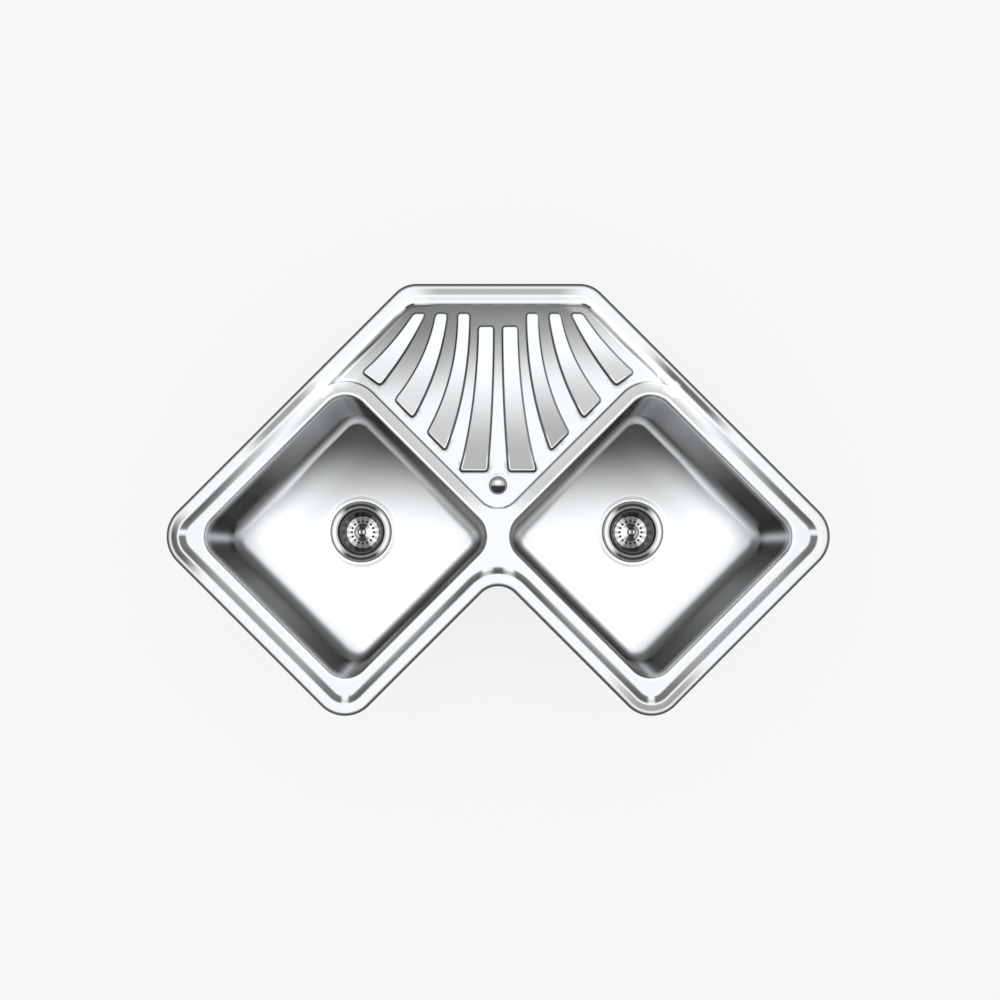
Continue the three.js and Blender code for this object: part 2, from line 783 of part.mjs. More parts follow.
// Knob above the hub, with a stem that goes through it and holds the rubber stopper below.
function strainerKnob() {
  const footZ = stopperTop - stopperThickness - seatGap;
  const neckZ = hubTopZ + seatGap;
  return turned([
    [0, footZ - 1.5],
    [stemRadius + 1.5, footZ - 1.5],
    [stemRadius + 1.5, footZ],
    [stemRadius, footZ],
    [stemRadius, neckZ],
    [5, neckZ],
    [4, neckZ + 3],
    [knobRadius, neckZ + 5],
    [knobRadius, neckZ + 7],
    [knobRadius - 2.5, neckZ + 8.6],
    [0, neckZ + 9.2],
  ], smallSides);
}

function stopper() {
  return ring(stemRadius + seatGap, stopperRadius, stopperTop - stopperThickness, stopperTop);
}

function waste(name, side, inletAngle) {
  const group = new THREE.Group();
  const [x, y] = wasteCentre(side);
  group.position.set(x, y, floorZ);
  const gasketInner = wasteHoleRadius + 1.5;
  group.add(
    piece(`${name}_waste_flange`, flangedCup(), polishedSteel),
    piece(
      `${name}_flange_gasket`,
      ring(gasketInner, flangeRadius - 2, flangeGasketTop - gasketThickness, flangeGasketTop),
      blackRubber,
    ),
    piece(
      `${name}_body_gasket`,
      ring(gasketInner, bodyFlangeRadius - 1, bodyGasketTop - gasketThickness, bodyGasketTop),
      blackRubber,
    ),
    piece(`${name}_waste_body`, wasteBody(inletAngle), blackPlastic),
    piece(`${name}_centre_screw`, centreScrew(), zincSteel),
    piece(`${name}_strainer`, strainer(), polishedSteel),
    piece(`${name}_strainer_knob`, strainerKnob(), polishedSteel),
    piece(`${name}_stopper`, stopper(), blackRubber),
  );
  return group;
}

// ---------------------------------------------------------------- overflow

const outletUnder = seatZ - sheet;
const outletGasketTop = outletUnder - seatGap;
const outletBodyTop = outletGasketTop - gasketThickness - seatGap;
const outletBodyRadius = 16;
const outletBodyHeight = 24;
const outletTailLength = 26;
const capBossDrop = 8;
const outletFunnelZ = outletBodyTop - outletBodyHeight;
const outletTailEnd = outletFunnelZ - outletTailLength;
const capBossTop = outletBodyTop - capBossDrop;

// Domed cap on three feet, so that water runs in under its edge, with a threaded stem.
function overflowCap() {
  const domeTop = seatZ + capHeight;
  const skirtZ = seatZ + 2.2;
  const shell = turned([
    [0, capBossTop - 7],
    [capStemRadius, capBossTop - 6],
    [capStemRadius, domeTop - 3],
    [capRadius * 0.55, domeTop - 3],
    [capRadius * 0.85, domeTop - 4.4],
    [capRadius - 1.2, skirtZ],
    [capRadius, skirtZ],
    [capRadius * 0.97, skirtZ + 1.6],
    [capRadius * 0.87, domeTop - 2.2],
    [capRadius * 0.66, domeTop - 0.95],
    [capRadius * 0.36, domeTop - 0.2],
    [0, domeTop],
  ], ringSides);
  const feet = [];
  for (let i = 0; i < 3; i += 1) {
    const foot = new THREE.BoxGeometry(1.6, 2.4, 2.6);
    foot.translate(capRadius - 1.5, 0, seatZ + seatGap + 1.3);
    foot.rotateZ(Math.PI / 2 + (i / 3) * 2 * Math.PI);
    feet.push(solidOf(foot));
  }
  return shell.add(joined(feet));
}

function overflowBody() {
  const shell = turned([
    [pipeRadius - pipeWall, outletTailEnd],
    [pipeRadius, outletTailEnd],
    [pipeRadius, outletFunnelZ - 6],
    [outletBodyRadius, outletFunnelZ],
    [outletBodyRadius, outletBodyTop - 3],
    [outletSeatRadius, outletBodyTop - 3],
    [outletSeatRadius, outletBodyTop],
    [outletBodyRadius - 2.5, outletBodyTop],
    [outletBodyRadius - 2.5, outletFunnelZ + 1],
    [pipeRadius - pipeWall, outletFunnelZ - 5],
  ]);
  const boss = cylinder(capStemRadius + 3, capBossTop - 10, capBossTop, smallSides);
  const arms = [0, 1].map((i) => {
    const arm = new THREE.BoxGeometry(2 * outletBodyRadius - 3, 2.4, 6);
    arm.translate(0, 0, capBossTop - 5);
    arm.rotateZ((i * Math.PI) / 2);
    return solidOf(arm);
  });
  const thread = cylinder(capStemRadius + threadGap, capBossTop - 20, capBossTop + 5, smallSides);
  return shell.add(boss).add(joined(arms)).subtract(thread);
}

// Straight down from the outlet, round one bend, and level under the left bowl to its waste.
function pipeRoute(startExtra, endExtra) {
  const [wasteX, wasteY] = wasteCentre(-1);
  const outlet = new THREE.Vector3(0, 0, 0);
  const target = new THREE.Vector3(wasteX, wasteY - outletY, 0);
  const level = target.clone().normalize();
  const side = new THREE.Vector3(-level.y, level.x, 0);
  const down = new THREE.Vector3(0, 0, -1);
  const topZ = outletTailEnd - seatGap;
  const levelZ = floorZ - inletDrop;
  const stations = [{ at: outlet.clone().setZ(topZ + startExtra), along: down, side }];
  const steps = 8;
  for (let k = 0; k <= steps; k += 1) {
    const angle = (k / steps) * (Math.PI / 2);
    const at = level.clone().multiplyScalar(pipeBendRadius * (1 - Math.cos(angle)));
    at.z = levelZ + pipeBendRadius * (1 - Math.sin(angle));
    const along = down.clone().multiplyScalar(Math.cos(angle)).addScaledVector(level, Math.sin(angle));
    stations.push({ at, along, side });
  }
  const reach = target.length() - inletReach - seatGap;
  stations.push({ at: level.clone().multiplyScalar(reach + endExtra).setZ(levelZ), along: level, side });
  return stations;
}

function overflowPipe() {
  return bar(pipeRoute(0, 0), pipeRadius, smallSides)
    .subtract(bar(pipeRoute(2, 2), pipeRadius - pipeWall, smallSides));
}

// Compression nut over the joint of two pipe ends, with flats for the hand.
function pipeNut(closedEnd) {
  const inner = (pipeRadius + seatGap) / Math.cos(Math.PI / smallSides);
  const nut = prism(circle(inner + nutWall, 8), -nutHeight / 2, nutHeight / 2)
    .subtract(cylinder(inner, -nutHeight, nutHeight, smallSides));
  if (!closedEnd) return nut;
  return nut.add(cylinder(inner + 1, nutHeight / 2 - 2.5, nutHeight / 2, smallSides));
}

function levelled(mesh, angle, reach) {
  const [wasteX, wasteY] = [Math.cos(angle) * reach, Math.sin(angle) * reach];
  mesh.position.set(wasteX, wasteY, -inletDrop);
  mesh.rotation.set(0, Math.PI / 2, angle, 'ZYX');
  return mesh;
}

function overflow() {
  const group = new THREE.Group();
  group.position.set(0, outletY, 0);
  const topNut = piece('overflow_top_nut', pipeNut(false), greyPlastic);
  topNut.position.z = outletTailEnd;
  group.add(
    piece('overflow_cap', overflowCap(), chromedBrass),
    piece(
      'overflow_gasket',
      ring(outletHoleRadius + 1.5, outletSeatRadius - 1, outletGasketTop - gasketThickness, outletGasketTop),
      blackRubber,
    ),
    piece('overflow_body', overflowBody(), blackPlastic),
    piece('overflow_pipe', overflowPipe(), greyPlastic),
    topNut,
  );
  return group;
}

// ---------------------------------------------------------------- clips

// In a clip's own frame +X points outwards across the rim, from the sink's middle to its edge, and
// the screw stands at X = 0.
function clipBracket() {
  const top = deckHeight - sheet - seatGap;
  const farSide = -8;
  const nearEdge = 5;
  const shape = new THREE.Shape([
    [farSide, top - bracketDrop],
    [farSide + bracketGauge, top - bracketDrop],
    [farSide + bracketGauge, top - bracketGauge],
    [nearEdge, top - bracketGauge],
    [nearEdge, top],
    [farSide, top],
  ].map(([x, z]) => new THREE.Vector2(x, z)));
  const geometry = new THREE.ExtrudeGeometry(shape, { depth: bracketWidth, bevelEnabled: false });
  geometry.rotateX(Math.PI / 2);
  geometry.translate(0, bracketWidth / 2, 0);
  const thread = cylinder(clipScrewRadius + threadGap, top - 5, top + 5, 8);
  return solidOf(geometry).subtract(thread);
}

const clawTop = -worktopThickness - 2;
const clipScrewEnd = clawTop - clawThickness - 14;

function clipScrew() {
  const top = deckHeight - sheet - 2 * seatGap;
  const shank = turned([
    [0, clipScrewEnd],
    [clipScrewRadius, clipScrewEnd],
    [clipScrewRadius, top - 1],
    [clipScrewRadius - 0.8, top],
    [0, top],
  ], 8);
  return shank.add(cylinder(4.4, clipScrewEnd - 3.5, clipScrewEnd + 0.1, 6));
}

// Forked lever on the screw: rounded heel, waisted arm, and a toothed tip turned up to the worktop.
function clipClaw() {
  const heel = clawWidth / 2;
  const plan = new THREE.Shape();
  plan.absarc(0, 0, heel, Math.PI / 2, (3 * Math.PI) / 2, false);
  plan.lineTo(clipReach - 4, -heel + 2);
  plan.lineTo(clipReach, -heel + 2);
  plan.lineTo(clipReach, heel - 2);
  plan.lineTo(clipReach - 4, heel - 2);
  const arm = new THREE.ExtrudeGeometry(plan, { depth: clawThickness, bevelEnabled: false, curveSegments: 4 });
  arm.translate(0, 0, clawTop - clawThickness);
  let claw = solidOf(arm);
  for (const reach of [clipReach - 2.5, clipReach - 7]) {
    const tooth = new THREE.Shape([
      new THREE.Vector2(reach, clawTop - 1),
      new THREE.Vector2(reach + 2.5, clawTop - 1),
      new THREE.Vector2(reach + 2.5, clawTop + 2 - seatGap),
    ]);
    const bladeGeometry = new THREE.ExtrudeGeometry(tooth, { depth: clawWidth - 6, bevelEnabled: false });
    bladeGeometry.rotateX(Math.PI / 2);
    bladeGeometry.translate(0, clawWidth / 2 - 3, 0);
    claw = claw.add(solidOf(bladeGeometry));
  }
  return claw.subtract(cylinder(clipScrewRadius + threadGap, clawTop - 10, clawTop + 5, 8));
}

// Places along the straight edges: [start corner, end corner, share of the way].
const clipPlaces = [
  [rimCorner.rightBack, rimCorner.leftBack, 0.5],
  [rimCorner.rightTip, rimCorner.rightBack, 0.3],
  [rimCorner.rightTip, rimCorner.rightBack, 0.75],
  [rimCorner.leftBack, rimCorner.leftTip, 0.25],
  [rimCorner.leftBack, rimCorner.leftTip, 0.7],
  [rimCorner.rightFront, rimCorner.rightTip, 0.5],
  [rimCorner.leftTip, rimCorner.leftFront, 0.5],
  [rimCorner.leftFront, rimCorner.notch, 0.45],
  [rimCorner.notch, rimCorner.rightFront, 0.55],
];

function clips() {
  return clipPlaces.map(([from, to, share], i) => {
    const start = new THREE.Vector2(from[0], from[1]);
    const end = new THREE.Vector2(to[0], to[1]);
    const along = end.clone().sub(start).normalize();
    const outwards = new THREE.Vector2(along.y, -along.x);
    const at = start.clone().lerp(end, share).addScaledVector(outwards, -clipInset);
    const group = new THREE.Group();
    group.position.set(at.x, at.y, 0);
    group.rotation.z = outwards.angle();
    group.add(
      piece(`clip_${i + 1}_bracket`, clipBracket(), zincSteel),
      piece(`clip_${i + 1}_screw`, clipScrew(), zincSteel),
      piece(`clip_${i + 1}_claw`, clipClaw(), zincSteel),
    );
    return group;
  });
}

// ---------------------------------------------------------------- the whole sink

const sink = new THREE.Group();
sink.add(
  piece('deck', deck(), brushedSteel),
  piece('left_bowl', bowl(-1), brushedSteel),
  piece('right_bowl', bowl(1), brushedSteel),
  piece('left_sound_pad', soundPad(-1), bitumenPad),
  piece('right_sound_pad', soundPad(1), bitumenPad),
  piece('rim_seal', rimSeal(), greyFoam),
);

const [leftX, leftY] = wasteCentre(-1);
const leftInlet = Math.atan2(outletY - leftY, -leftX);
const rightInlet = Math.PI - leftInlet;
const leftWaste = waste('left', -1, leftInlet);
const rightWaste = waste('right', 1, rightInlet);
leftWaste.add(levelled(piece('overflow_side_nut', pipeNut(false), greyPlastic), leftInlet, inletReach));
rightWaste.add(levelled(
  piece('inlet_blanking_cap', pipeNut(true), greyPlastic),
  rightInlet,
  inletReach - nutHeight / 2 + 2.5 + seatGap,
));
sink.add(leftWaste, rightWaste, overflow(), ...clips());

export default sink;
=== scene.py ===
"""An inset corner kitchen sink in pressed stainless steel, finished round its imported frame.

The frame gives where each piece is. This file makes the fine surface of each piece: the deck
pressing with its rim, drainer and raised fingers, the two drawn bowls, the basket wastes, the
overflow and the fixing clips. Lengths are metres, +Z is up and +Y points to the room's corner.
"""

import math
from types import SimpleNamespace

import bmesh
import bpy
import numpy as np
from bpy.props import FloatProperty, FloatVectorProperty, IntProperty, PointerProperty
from mathutils import Matrix, Vector, geometry


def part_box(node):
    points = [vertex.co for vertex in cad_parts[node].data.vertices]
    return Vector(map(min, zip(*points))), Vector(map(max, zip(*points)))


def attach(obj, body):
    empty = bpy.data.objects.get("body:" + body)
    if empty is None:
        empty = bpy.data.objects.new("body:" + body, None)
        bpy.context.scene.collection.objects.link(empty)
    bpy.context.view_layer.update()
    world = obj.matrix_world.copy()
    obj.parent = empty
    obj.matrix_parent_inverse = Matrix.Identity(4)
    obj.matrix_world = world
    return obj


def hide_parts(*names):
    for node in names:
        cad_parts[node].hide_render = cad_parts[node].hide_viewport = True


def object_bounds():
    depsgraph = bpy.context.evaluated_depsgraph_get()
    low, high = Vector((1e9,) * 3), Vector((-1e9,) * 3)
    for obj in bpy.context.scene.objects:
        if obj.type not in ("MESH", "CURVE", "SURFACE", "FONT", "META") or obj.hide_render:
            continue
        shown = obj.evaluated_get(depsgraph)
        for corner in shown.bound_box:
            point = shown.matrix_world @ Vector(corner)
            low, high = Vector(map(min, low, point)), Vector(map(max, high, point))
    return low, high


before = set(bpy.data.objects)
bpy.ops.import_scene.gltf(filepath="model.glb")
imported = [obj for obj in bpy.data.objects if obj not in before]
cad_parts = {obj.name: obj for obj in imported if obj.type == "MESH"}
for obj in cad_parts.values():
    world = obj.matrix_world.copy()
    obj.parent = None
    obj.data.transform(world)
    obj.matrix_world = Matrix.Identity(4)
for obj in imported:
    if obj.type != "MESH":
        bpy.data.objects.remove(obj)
cad_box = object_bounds()

bl_info = {
    "name": "Corner kitchen sink",
    "version": (1, 0, 0),
    "blender": (4, 5, 0),
    "location": "3D View > Sidebar > Sink",
    "description": "Finishes a corner kitchen sink in pressed stainless steel round its frame",
    "category": "Add Mesh",
}

MM = 0.001
ROOT = "sink"
SIDES = (("left", -1), ("right", 1))


def middle(node):
    """Middle of a frame node's box."""
    low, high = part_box(node)
    return (low + high) / 2


def linear(hex_colour):
    """An sRGB hex colour as the linear values that Blender's sockets hold."""
    channels = [int(hex_colour[i : i + 2], 16) / 255 for i in (1, 3, 5)]
    return tuple(c / 12.92 if c <= 0.04045 else ((c + 0.055) / 1.055) ** 2.4 for c in channels)


# ------------------------------------------------------------------ what a user may change


def length(name, default, description):
    return FloatProperty(
        name=name, default=default, description=description, unit="LENGTH", precision=4, min=0
    )


def colour(name, hex_colour, description):
    return FloatVectorProperty(
        name=name, default=linear(hex_colour), description=description, subtype="COLOR", min=0, max=1
    )


class SinkSizes(bpy.types.PropertyGroup):
    """Sizes of the sink's pressed and turned forms."""

    wall_leg: length("Wall leg", 830 * MM, "Room corner to wing tip, along each wall")
    wing_width: length("Wing width", 463 * MM, "Wall edge to front edge of a wing")
    corner_cut: length("Corner cut", 159 * MM, "How far the back edge cuts off the room corner")
    tip_radius: length("Tip radius", 60.8 * MM, "Plan radius at the wing tips")
    front_radius: length("Front radius", 56.7 * MM, "Plan radius at the front corners")
    back_radius: length("Back radius", 50 * MM, "Plan radius at the back corners")
    notch_radius: length("Notch radius", 40 * MM, "Plan radius of the inner front corner")
    sheet: length("Sheet", 1 * MM, "Gauge of the steel")
    rim_edge: length("Rim edge radius", 3 * MM, "Rolled outer edge of the rim")
    rim_skirt: length("Skirt gap", 0.5 * MM, "Turned-down edge over the worktop")
    rim_flat: length("Rim flat", 20 * MM, "Outer edge to the start of the step")
    rim_crown: length("Rim crown", 0.3 * MM, "How much the rim's top is bowed across its width")
    step_run: length("Step run", 10 * MM, "Width of the step down to the deck")
    deck_height: length("Deck height", 3.5 * MM, "Deck over the worktop")
    bowl_side: length("Bowl side", 362 * MM, "Side of the square bowl at its mouth")
    bowl_radius: length("Bowl corner radius", 42 * MM, "Plan radius at the bowl's mouth")
    bowl_draft: length("Bowl draft", 8 * MM, "How far a wall leans in")
    bowl_fillet: length("Bowl fillet", 16 * MM, "Radius between wall and floor")
    bowl_floor_radius: length("Bowl floor corner", 24 * MM, "Plan radius of the floor's corners")
    lip_radius: length("Lip radius", 5 * MM, "Rounded edge from deck to bowl wall")
    collar: length("Collar", 4 * MM, "Straight part of the deck's collar above the weld")
    land: length("Land", 23 * MM, "Flat land between a bowl and the drainer")
    recess_side: length("Recess side inset", 28.7 * MM, "Wall edge to the drainer's edge")
    recess_back: length("Recess back inset", 32 * MM, "Back edge to the drainer's edge")
    recess_tip: length("Recess tip radius", 42 * MM, "Plan radius at the drainer's point")
    recess_corner: length("Recess corner radius", 30 * MM, "Plan radius at the drainer's back")
    recess_run: length("Recess run", 4 * MM, "Width of the drainer's sloping side")
    floor_back: length("Back depth", 4.5 * MM, "Drainer floor under the deck at its back")
    floor_front: length("Front depth", 12.5 * MM, "Drainer floor under the deck at the outlet")
    finger_bevel: length("Finger bevel", 2.4 * MM, "Width of a finger's sloping side")
    finger_back: length("Finger rise, back", 1.2 * MM, "Finger top over the floor at the back")
    finger_front: length("Finger rise, front", 5 * MM, "Finger top over the floor at the outlet")
    finger_corner: length("Finger corner radius", 5 * MM, "Plan radius of a finger's corners")
    outlet_seat: length("Outlet seat radius", 20 * MM, "Flat seat round the overflow outlet")
    outlet_drop: length("Outlet seat drop", 0.8 * MM, "Seat under the drainer floor")
    outlet_hole: length("Outlet hole radius", 11 * MM, "Hole of the overflow outlet")
    waste_recess: length("Waste recess radius", 61 * MM, "Round recess in the bowl floor")
    waste_drop: length("Waste recess depth", 3 * MM, "Depth of that recess")
    waste_hole: length("Waste hole radius", 45 * MM, "Hole in the bowl floor")
    strainer_holes: IntProperty(name="Strainer holes", default=16, min=3, description="In each basket")
    grain: length("Grain spacing", 0.5 * MM, "Spacing of the brushed lines, coarse enough to show")


class SinkFinishes(bpy.types.PropertyGroup):
    """Colours of the sink's materials."""

    steel: colour("Brushed steel", "#D6D8DA", "Rim, deck and bowls")
    polished: colour("Polished steel", "#D3D5D7", "Wastes and strainers")
    chrome: colour("Chrome", "#DFE1E4", "Cap of the overflow outlet")
    zinc: colour("Zinc plate", "#AEB2B5", "Fixing clips and screws")
    black_plastic: colour("Black polypropylene", "#27282A", "Waste and overflow housings")
    grey_plastic: colour("Grey polypropylene", "#8B8F92", "Overflow pipe and nuts")
    rubber: colour("Black rubber", "#1B1C1D", "Gaskets and stoppers")
    foam: colour("Grey foam", "#6C7073", "Seal under the rim")
    bitumen: colour("Bitumen", "#373738", "Sound pads under the bowls")
    floor: colour("Floor", "#F8F8F8", "Studio floor")


def sizes():
    return bpy.context.scene.sink_sizes


def finishes():
    return bpy.context.scene.sink_finishes


# ------------------------------------------------------------------ outlines and distances


def unit(vector):
    return vector / np.linalg.norm(vector)


def rounded(corners, inset=0.0, spacing=8 * MM, turn_step=math.radians(5), straight_steps=None):
    """A closed outline through corners [x, y, radius], anticlockwise, moved in by inset. Outlines
    of one set of corners have equal point counts whatever their inset."""
    count = len(corners)
    places = np.array([corner[:2] for corner in corners])
    arcs = []
    for i, (_, _, radius) in enumerate(corners):
        arriving = unit(places[i] - places[i - 1])
        leaving = unit(places[(i + 1) % count] - places[i])
        cosine = arriving @ leaving
        turn = math.atan2(arriving[0] * leaving[1] - arriving[1] * leaving[0], cosine)
        side = math.copysign(1, turn)
        inward = np.array([-arriving[1] - leaving[1], arriving[0] + leaving[0]]) / (1 + cosine)
        centre = places[i] + inward * side * radius
        start = math.atan2(-side * arriving[0], side * arriving[1])
        steps = max(2, math.ceil(abs(turn) / turn_step - 1e-6))
        angles = start + turn * np.arange(steps + 1) / steps
        spokes = np.stack([np.cos(angles), np.sin(angles)], axis=1)
        arcs.append((centre, radius, side, spokes))
    points = []
    for i, (centre, radius, side, spokes) in enumerate(arcs):
        points.append(centre + spokes * (radius - side * inset))
        next_centre, next_radius, next_side, next_spokes = arcs[(i + 1) % count]
        here = centre + spokes[-1] * radius
        there = next_centre + next_spokes[0] * next_radius
        steps = straight_steps or max(1, round(np.linalg.norm(there - here) / spacing))
        end = next_centre + next_spokes[0] * (next_radius - next_side * inset)
        shares = np.arange(1, steps)[:, None] / steps
        points.append(points[-1][-1] * (1 - shares) + end * shares)
    return np.concatenate(points)


def on_circle(centre, radius, angles):
    return np.stack([centre[0] + radius * np.cos(angles), centre[1] + radius * np.sin(angles)], axis=1)


def circle(centre, radius, steps=96):
    return on_circle(centre, radius, 2 * np.pi * np.arange(steps) / steps)


def arc(centre, radius, start, end, step=2 * MM):
    count = max(3, math.ceil(abs(end - start) * radius / step))
    return on_circle(centre, radius, start + (end - start) * np.arange(count + 1) / count)


def quarter_round(radius, degrees):
    """How far a quarter round is from its end, across and along, at each of its angles."""
    turns = np.radians(degrees)
    return [(radius * (1 - math.cos(turn)), radius * (1 - math.sin(turn))) for turn in turns]


def bowed(start, control, end, count):
    """Points along a curve that leaves start towards control and arrives at end from it."""
    shares = np.linspace(0, 1, count)[:, None]
    return (1 - shares) ** 2 * start + 2 * shares * (1 - shares) * control + shares**2 * end


def spaced(points, spacing):
    """A closed outline with its longer stretches divided."""
    made = []
    for here, there in zip(points, np.roll(points, -1, axis=0)):
        steps = max(1, round(np.linalg.norm(there - here) / spacing))
        made.append(here + (there - here) * np.arange(steps)[:, None] / steps)
    return np.concatenate(made)


def moved_in(points, inset):
    """A smooth closed outline moved in by inset along its mitres."""
    arriving = points - np.roll(points, 1, axis=0)
    arriving /= np.linalg.norm(arriving, axis=1)[:, None]
    leaving = np.roll(arriving, -1, axis=0)
    inward = np.stack([-arriving[:, 1] - leaving[:, 1], arriving[:, 0] + leaving[:, 0]], axis=1)
    inward /= 1 + (arriving * leaving).sum(axis=1)[:, None]
    return points + inward * inset


def depth_inside(points, outline, block=1500):
    """How far each point is inside a closed outline; negative outside."""
    start, end = outline, np.roll(outline, -1, axis=0)
    along = end - start
    squared = np.maximum((along**2).sum(axis=1), 1e-18)
    depths = np.empty(len(points))
    for first in range(0, len(points), block):
        here = points[first : first + block, None, :] - start[None]
        share = np.clip((here * along).sum(axis=2) / squared, 0, 1)
        gap = here - share[..., None] * along
        nearest = np.sqrt((gap**2).sum(axis=2)).min(axis=1)
        y = points[first : first + block, None, 1]
        crosses = (start[:, 1] > y) != (end[:, 1] > y)
        with np.errstate(divide="ignore", invalid="ignore"):
            x = start[:, 0] + (y - start[:, 1]) / along[:, 1] * along[:, 0]
        hit = crosses & (points[first : first + block, None, 0] < x)
        depths[first : first + block] = np.where(hit.sum(axis=1) % 2 == 1, nearest, -nearest)
    return depths


def grid_inside(outline, spacing, margin):
    """Evenly spaced points inside a closed outline, at least margin from it."""
    low, high = outline.min(axis=0), outline.max(axis=0)
    x, y = np.meshgrid(*(np.arange(low[i], high[i], spacing) for i in (0, 1)))
    x = x + (np.arange(len(y)) % 2)[:, None] * spacing / 2
    points = np.column_stack([x.ravel(), y.ravel()])
    return points[depth_inside(points, outline) > margin]


def eased(share):
    """A smooth S-curve from 0 to 1."""
    share = np.clip(share, 0, 1)
    return share * share * (3 - 2 * share)


def ramped(share, ends=0.22):
    """An even slope from 0 to 1 with rounded ends."""
    share = np.clip(share, 0, 1)
    low = np.minimum(share, ends)
    high = np.clip(share - (1 - ends), 0, ends)
    middle_part = np.clip(share - ends, 0, 1 - 2 * ends)
    risen = low**2 / (2 * ends) + middle_part + high - high**2 / (2 * ends)
    return risen / (1 - ends)


def filleted(corners, steps=6):
    """A line through (a, b) or (a, b, radius) corners, with each inner corner rounded."""
    corners = [(*corner, 0)[:3] for corner in corners]
    places = [np.array(corner[:2], float) for corner in corners]
    line = [places[0]]
    for before, here, after, (_, _, radius) in zip(places, places[1:], places[2:], corners[1:-1]):
        if radius == 0:
            line.append(here)
            continue
        arriving, leaving = unit(here - before), unit(after - here)
        half = math.acos(max(-1, min(1, arriving @ leaving))) / 2
        reach = radius * math.tan(half)
        reach = min(reach, 0.49 * np.linalg.norm(here - before), 0.49 * np.linalg.norm(after - here))
        line.extend(bowed(here - arriving * reach, here, here + leaving * reach, steps + 1))
    line.append(places[-1])
    return np.array(line)


def at_height(points, z):
    """Plan points with one height for all of them, or one for each."""
    return np.column_stack([points, np.broadcast_to(z, len(points))])


# ------------------------------------------------------------------ meshes


class Shell:
    """Points and faces of one piece while it is being made."""

    def __init__(self):
        self.points = []
        self.faces = []

    def add(self, points, faces):
        first = len(self.points)
        self.points.extend(tuple(float(value) for value in point) for point in points)
        self.faces.extend(tuple(first + i for i in face) for face in faces)
        return self

    def band(self, rings):
        """Faces between closed rings of equal point count, outside first when seen from above."""
        count = len(rings[0])
        faces = [
            (level * count + i, level * count + (i + 1) % count,
             (level + 1) * count + (i + 1) % count, (level + 1) * count + i)
            for level in range(len(rings) - 1)
            for i in range(count)
        ]
        return self.add(np.concatenate(rings), faces)

    def cap(self, ring, flip=False):
        order = range(len(ring))
        return self.add(ring, [tuple(reversed(order)) if flip else tuple(order)])

    def sheet(self, outer, holes, creases, height, spread=()):
        """A sheet seen from above between an outer outline and holes, with points along creases
        and, where it needs them, spread over its flats."""
        outer, *holes = [np.float32(loop).astype(float) for loop in (outer, *holes)]
        loops = [outer, *holes, *creases]
        points = [Vector(point) for loop in (*loops, spread) for point in loop]
        edges, first = [], 0
        for loop in loops:
            edges += [(first + i, first + (i + 1) % len(loop)) for i in range(len(loop))]
            first += len(loop)
        flat, _, triangles, *_ = geometry.delaunay_2d_cdt(points, edges, [], 0, 1e-7)
        flat = np.array([tuple(point) for point in flat])
        triangles = np.array(triangles)
        centres = flat[triangles].mean(axis=1)
        kept = depth_inside(centres, outer) > 0
        for hole in holes:
            kept &= depth_inside(centres, hole) < 0
        triangles = triangles[kept]
        used = np.unique(triangles)
        place = np.full(len(flat), -1)
        place[used] = np.arange(len(used))
        flat = flat[used]
        return self.add(at_height(flat, height(flat)), place[triangles].tolist())


SHARP_ANGLE = math.radians(40)


def smooth(mesh):
    """Smooth shading that stays sharp at folds."""
    mesh.shade_smooth()
    mesh.set_sharp_from_angle(angle=SHARP_ANGLE)


def mesh_of(name, shell):
    """The mesh of a shell, welded, with outward normals and smooth shading between sharp edges."""
    mesh = bpy.data.meshes.new(name)
    mesh.from_pydata(shell.points, [], shell.faces)
    work = bmesh.new()
    work.from_mesh(mesh)
    bmesh.ops.remove_doubles(work, verts=work.verts, dist=1e-6)
    bmesh.ops.dissolve_degenerate(work, edges=work.edges, dist=1e-7)
    bmesh.ops.recalc_face_normals(work, faces=work.faces)
    work.to_mesh(mesh)
    work.free()
    smooth(mesh)
    return mesh


def show(mesh):
    made = bpy.data.objects.new(mesh.name, mesh)
    bpy.context.scene.collection.objects.link(made)
    return made


def piece(name, shell):
    return show(mesh_of(name, shell))


def plain(made):
    """The object with its modifiers applied to a plain mesh."""
    graph = bpy.context.evaluated_depsgraph_get()
    done = bpy.data.meshes.new_from_object(made.evaluated_get(graph))
    done.name = made.name
    made.modifiers.clear()
    made.data = done
    return made


def finish(made, material, nodes, body=ROOT, place=None):
    """Moves a piece's mesh to its place, where the piece has one, gives it its material and body,
    and puts it in the place of its frame nodes."""
    if place:
        made.data.transform(place)
    made.data.materials.clear()
    made.data.materials.append(material_named(material))
    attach(made, body)
    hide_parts(*nodes)


V_PER_RADIUS, V_PER_HEIGHT = 10, 3


def turning_map(mesh):
    """A UV map whose U runs round the Z axis, so that a turned finish follows the lathe."""
    uv = mesh.uv_layers.new(name="turning")
    for face in mesh.polygons:
        places_round = [mesh.vertices[mesh.loops[i].vertex_index].co for i in face.loop_indices]
        angles = [math.atan2(y, x) / math.tau for x, y, _ in places_round]
        wraps = max(angles) - min(angles) > 0.5
        for i, (x, y, z), angle in zip(face.loop_indices, places_round, angles):
            across = math.hypot(x, y) * V_PER_RADIUS - z * V_PER_HEIGHT
            uv.data[i].uv = (angle + 1 if wraps and angle < 0 else angle, across)


# ------------------------------------------------------------------ materials


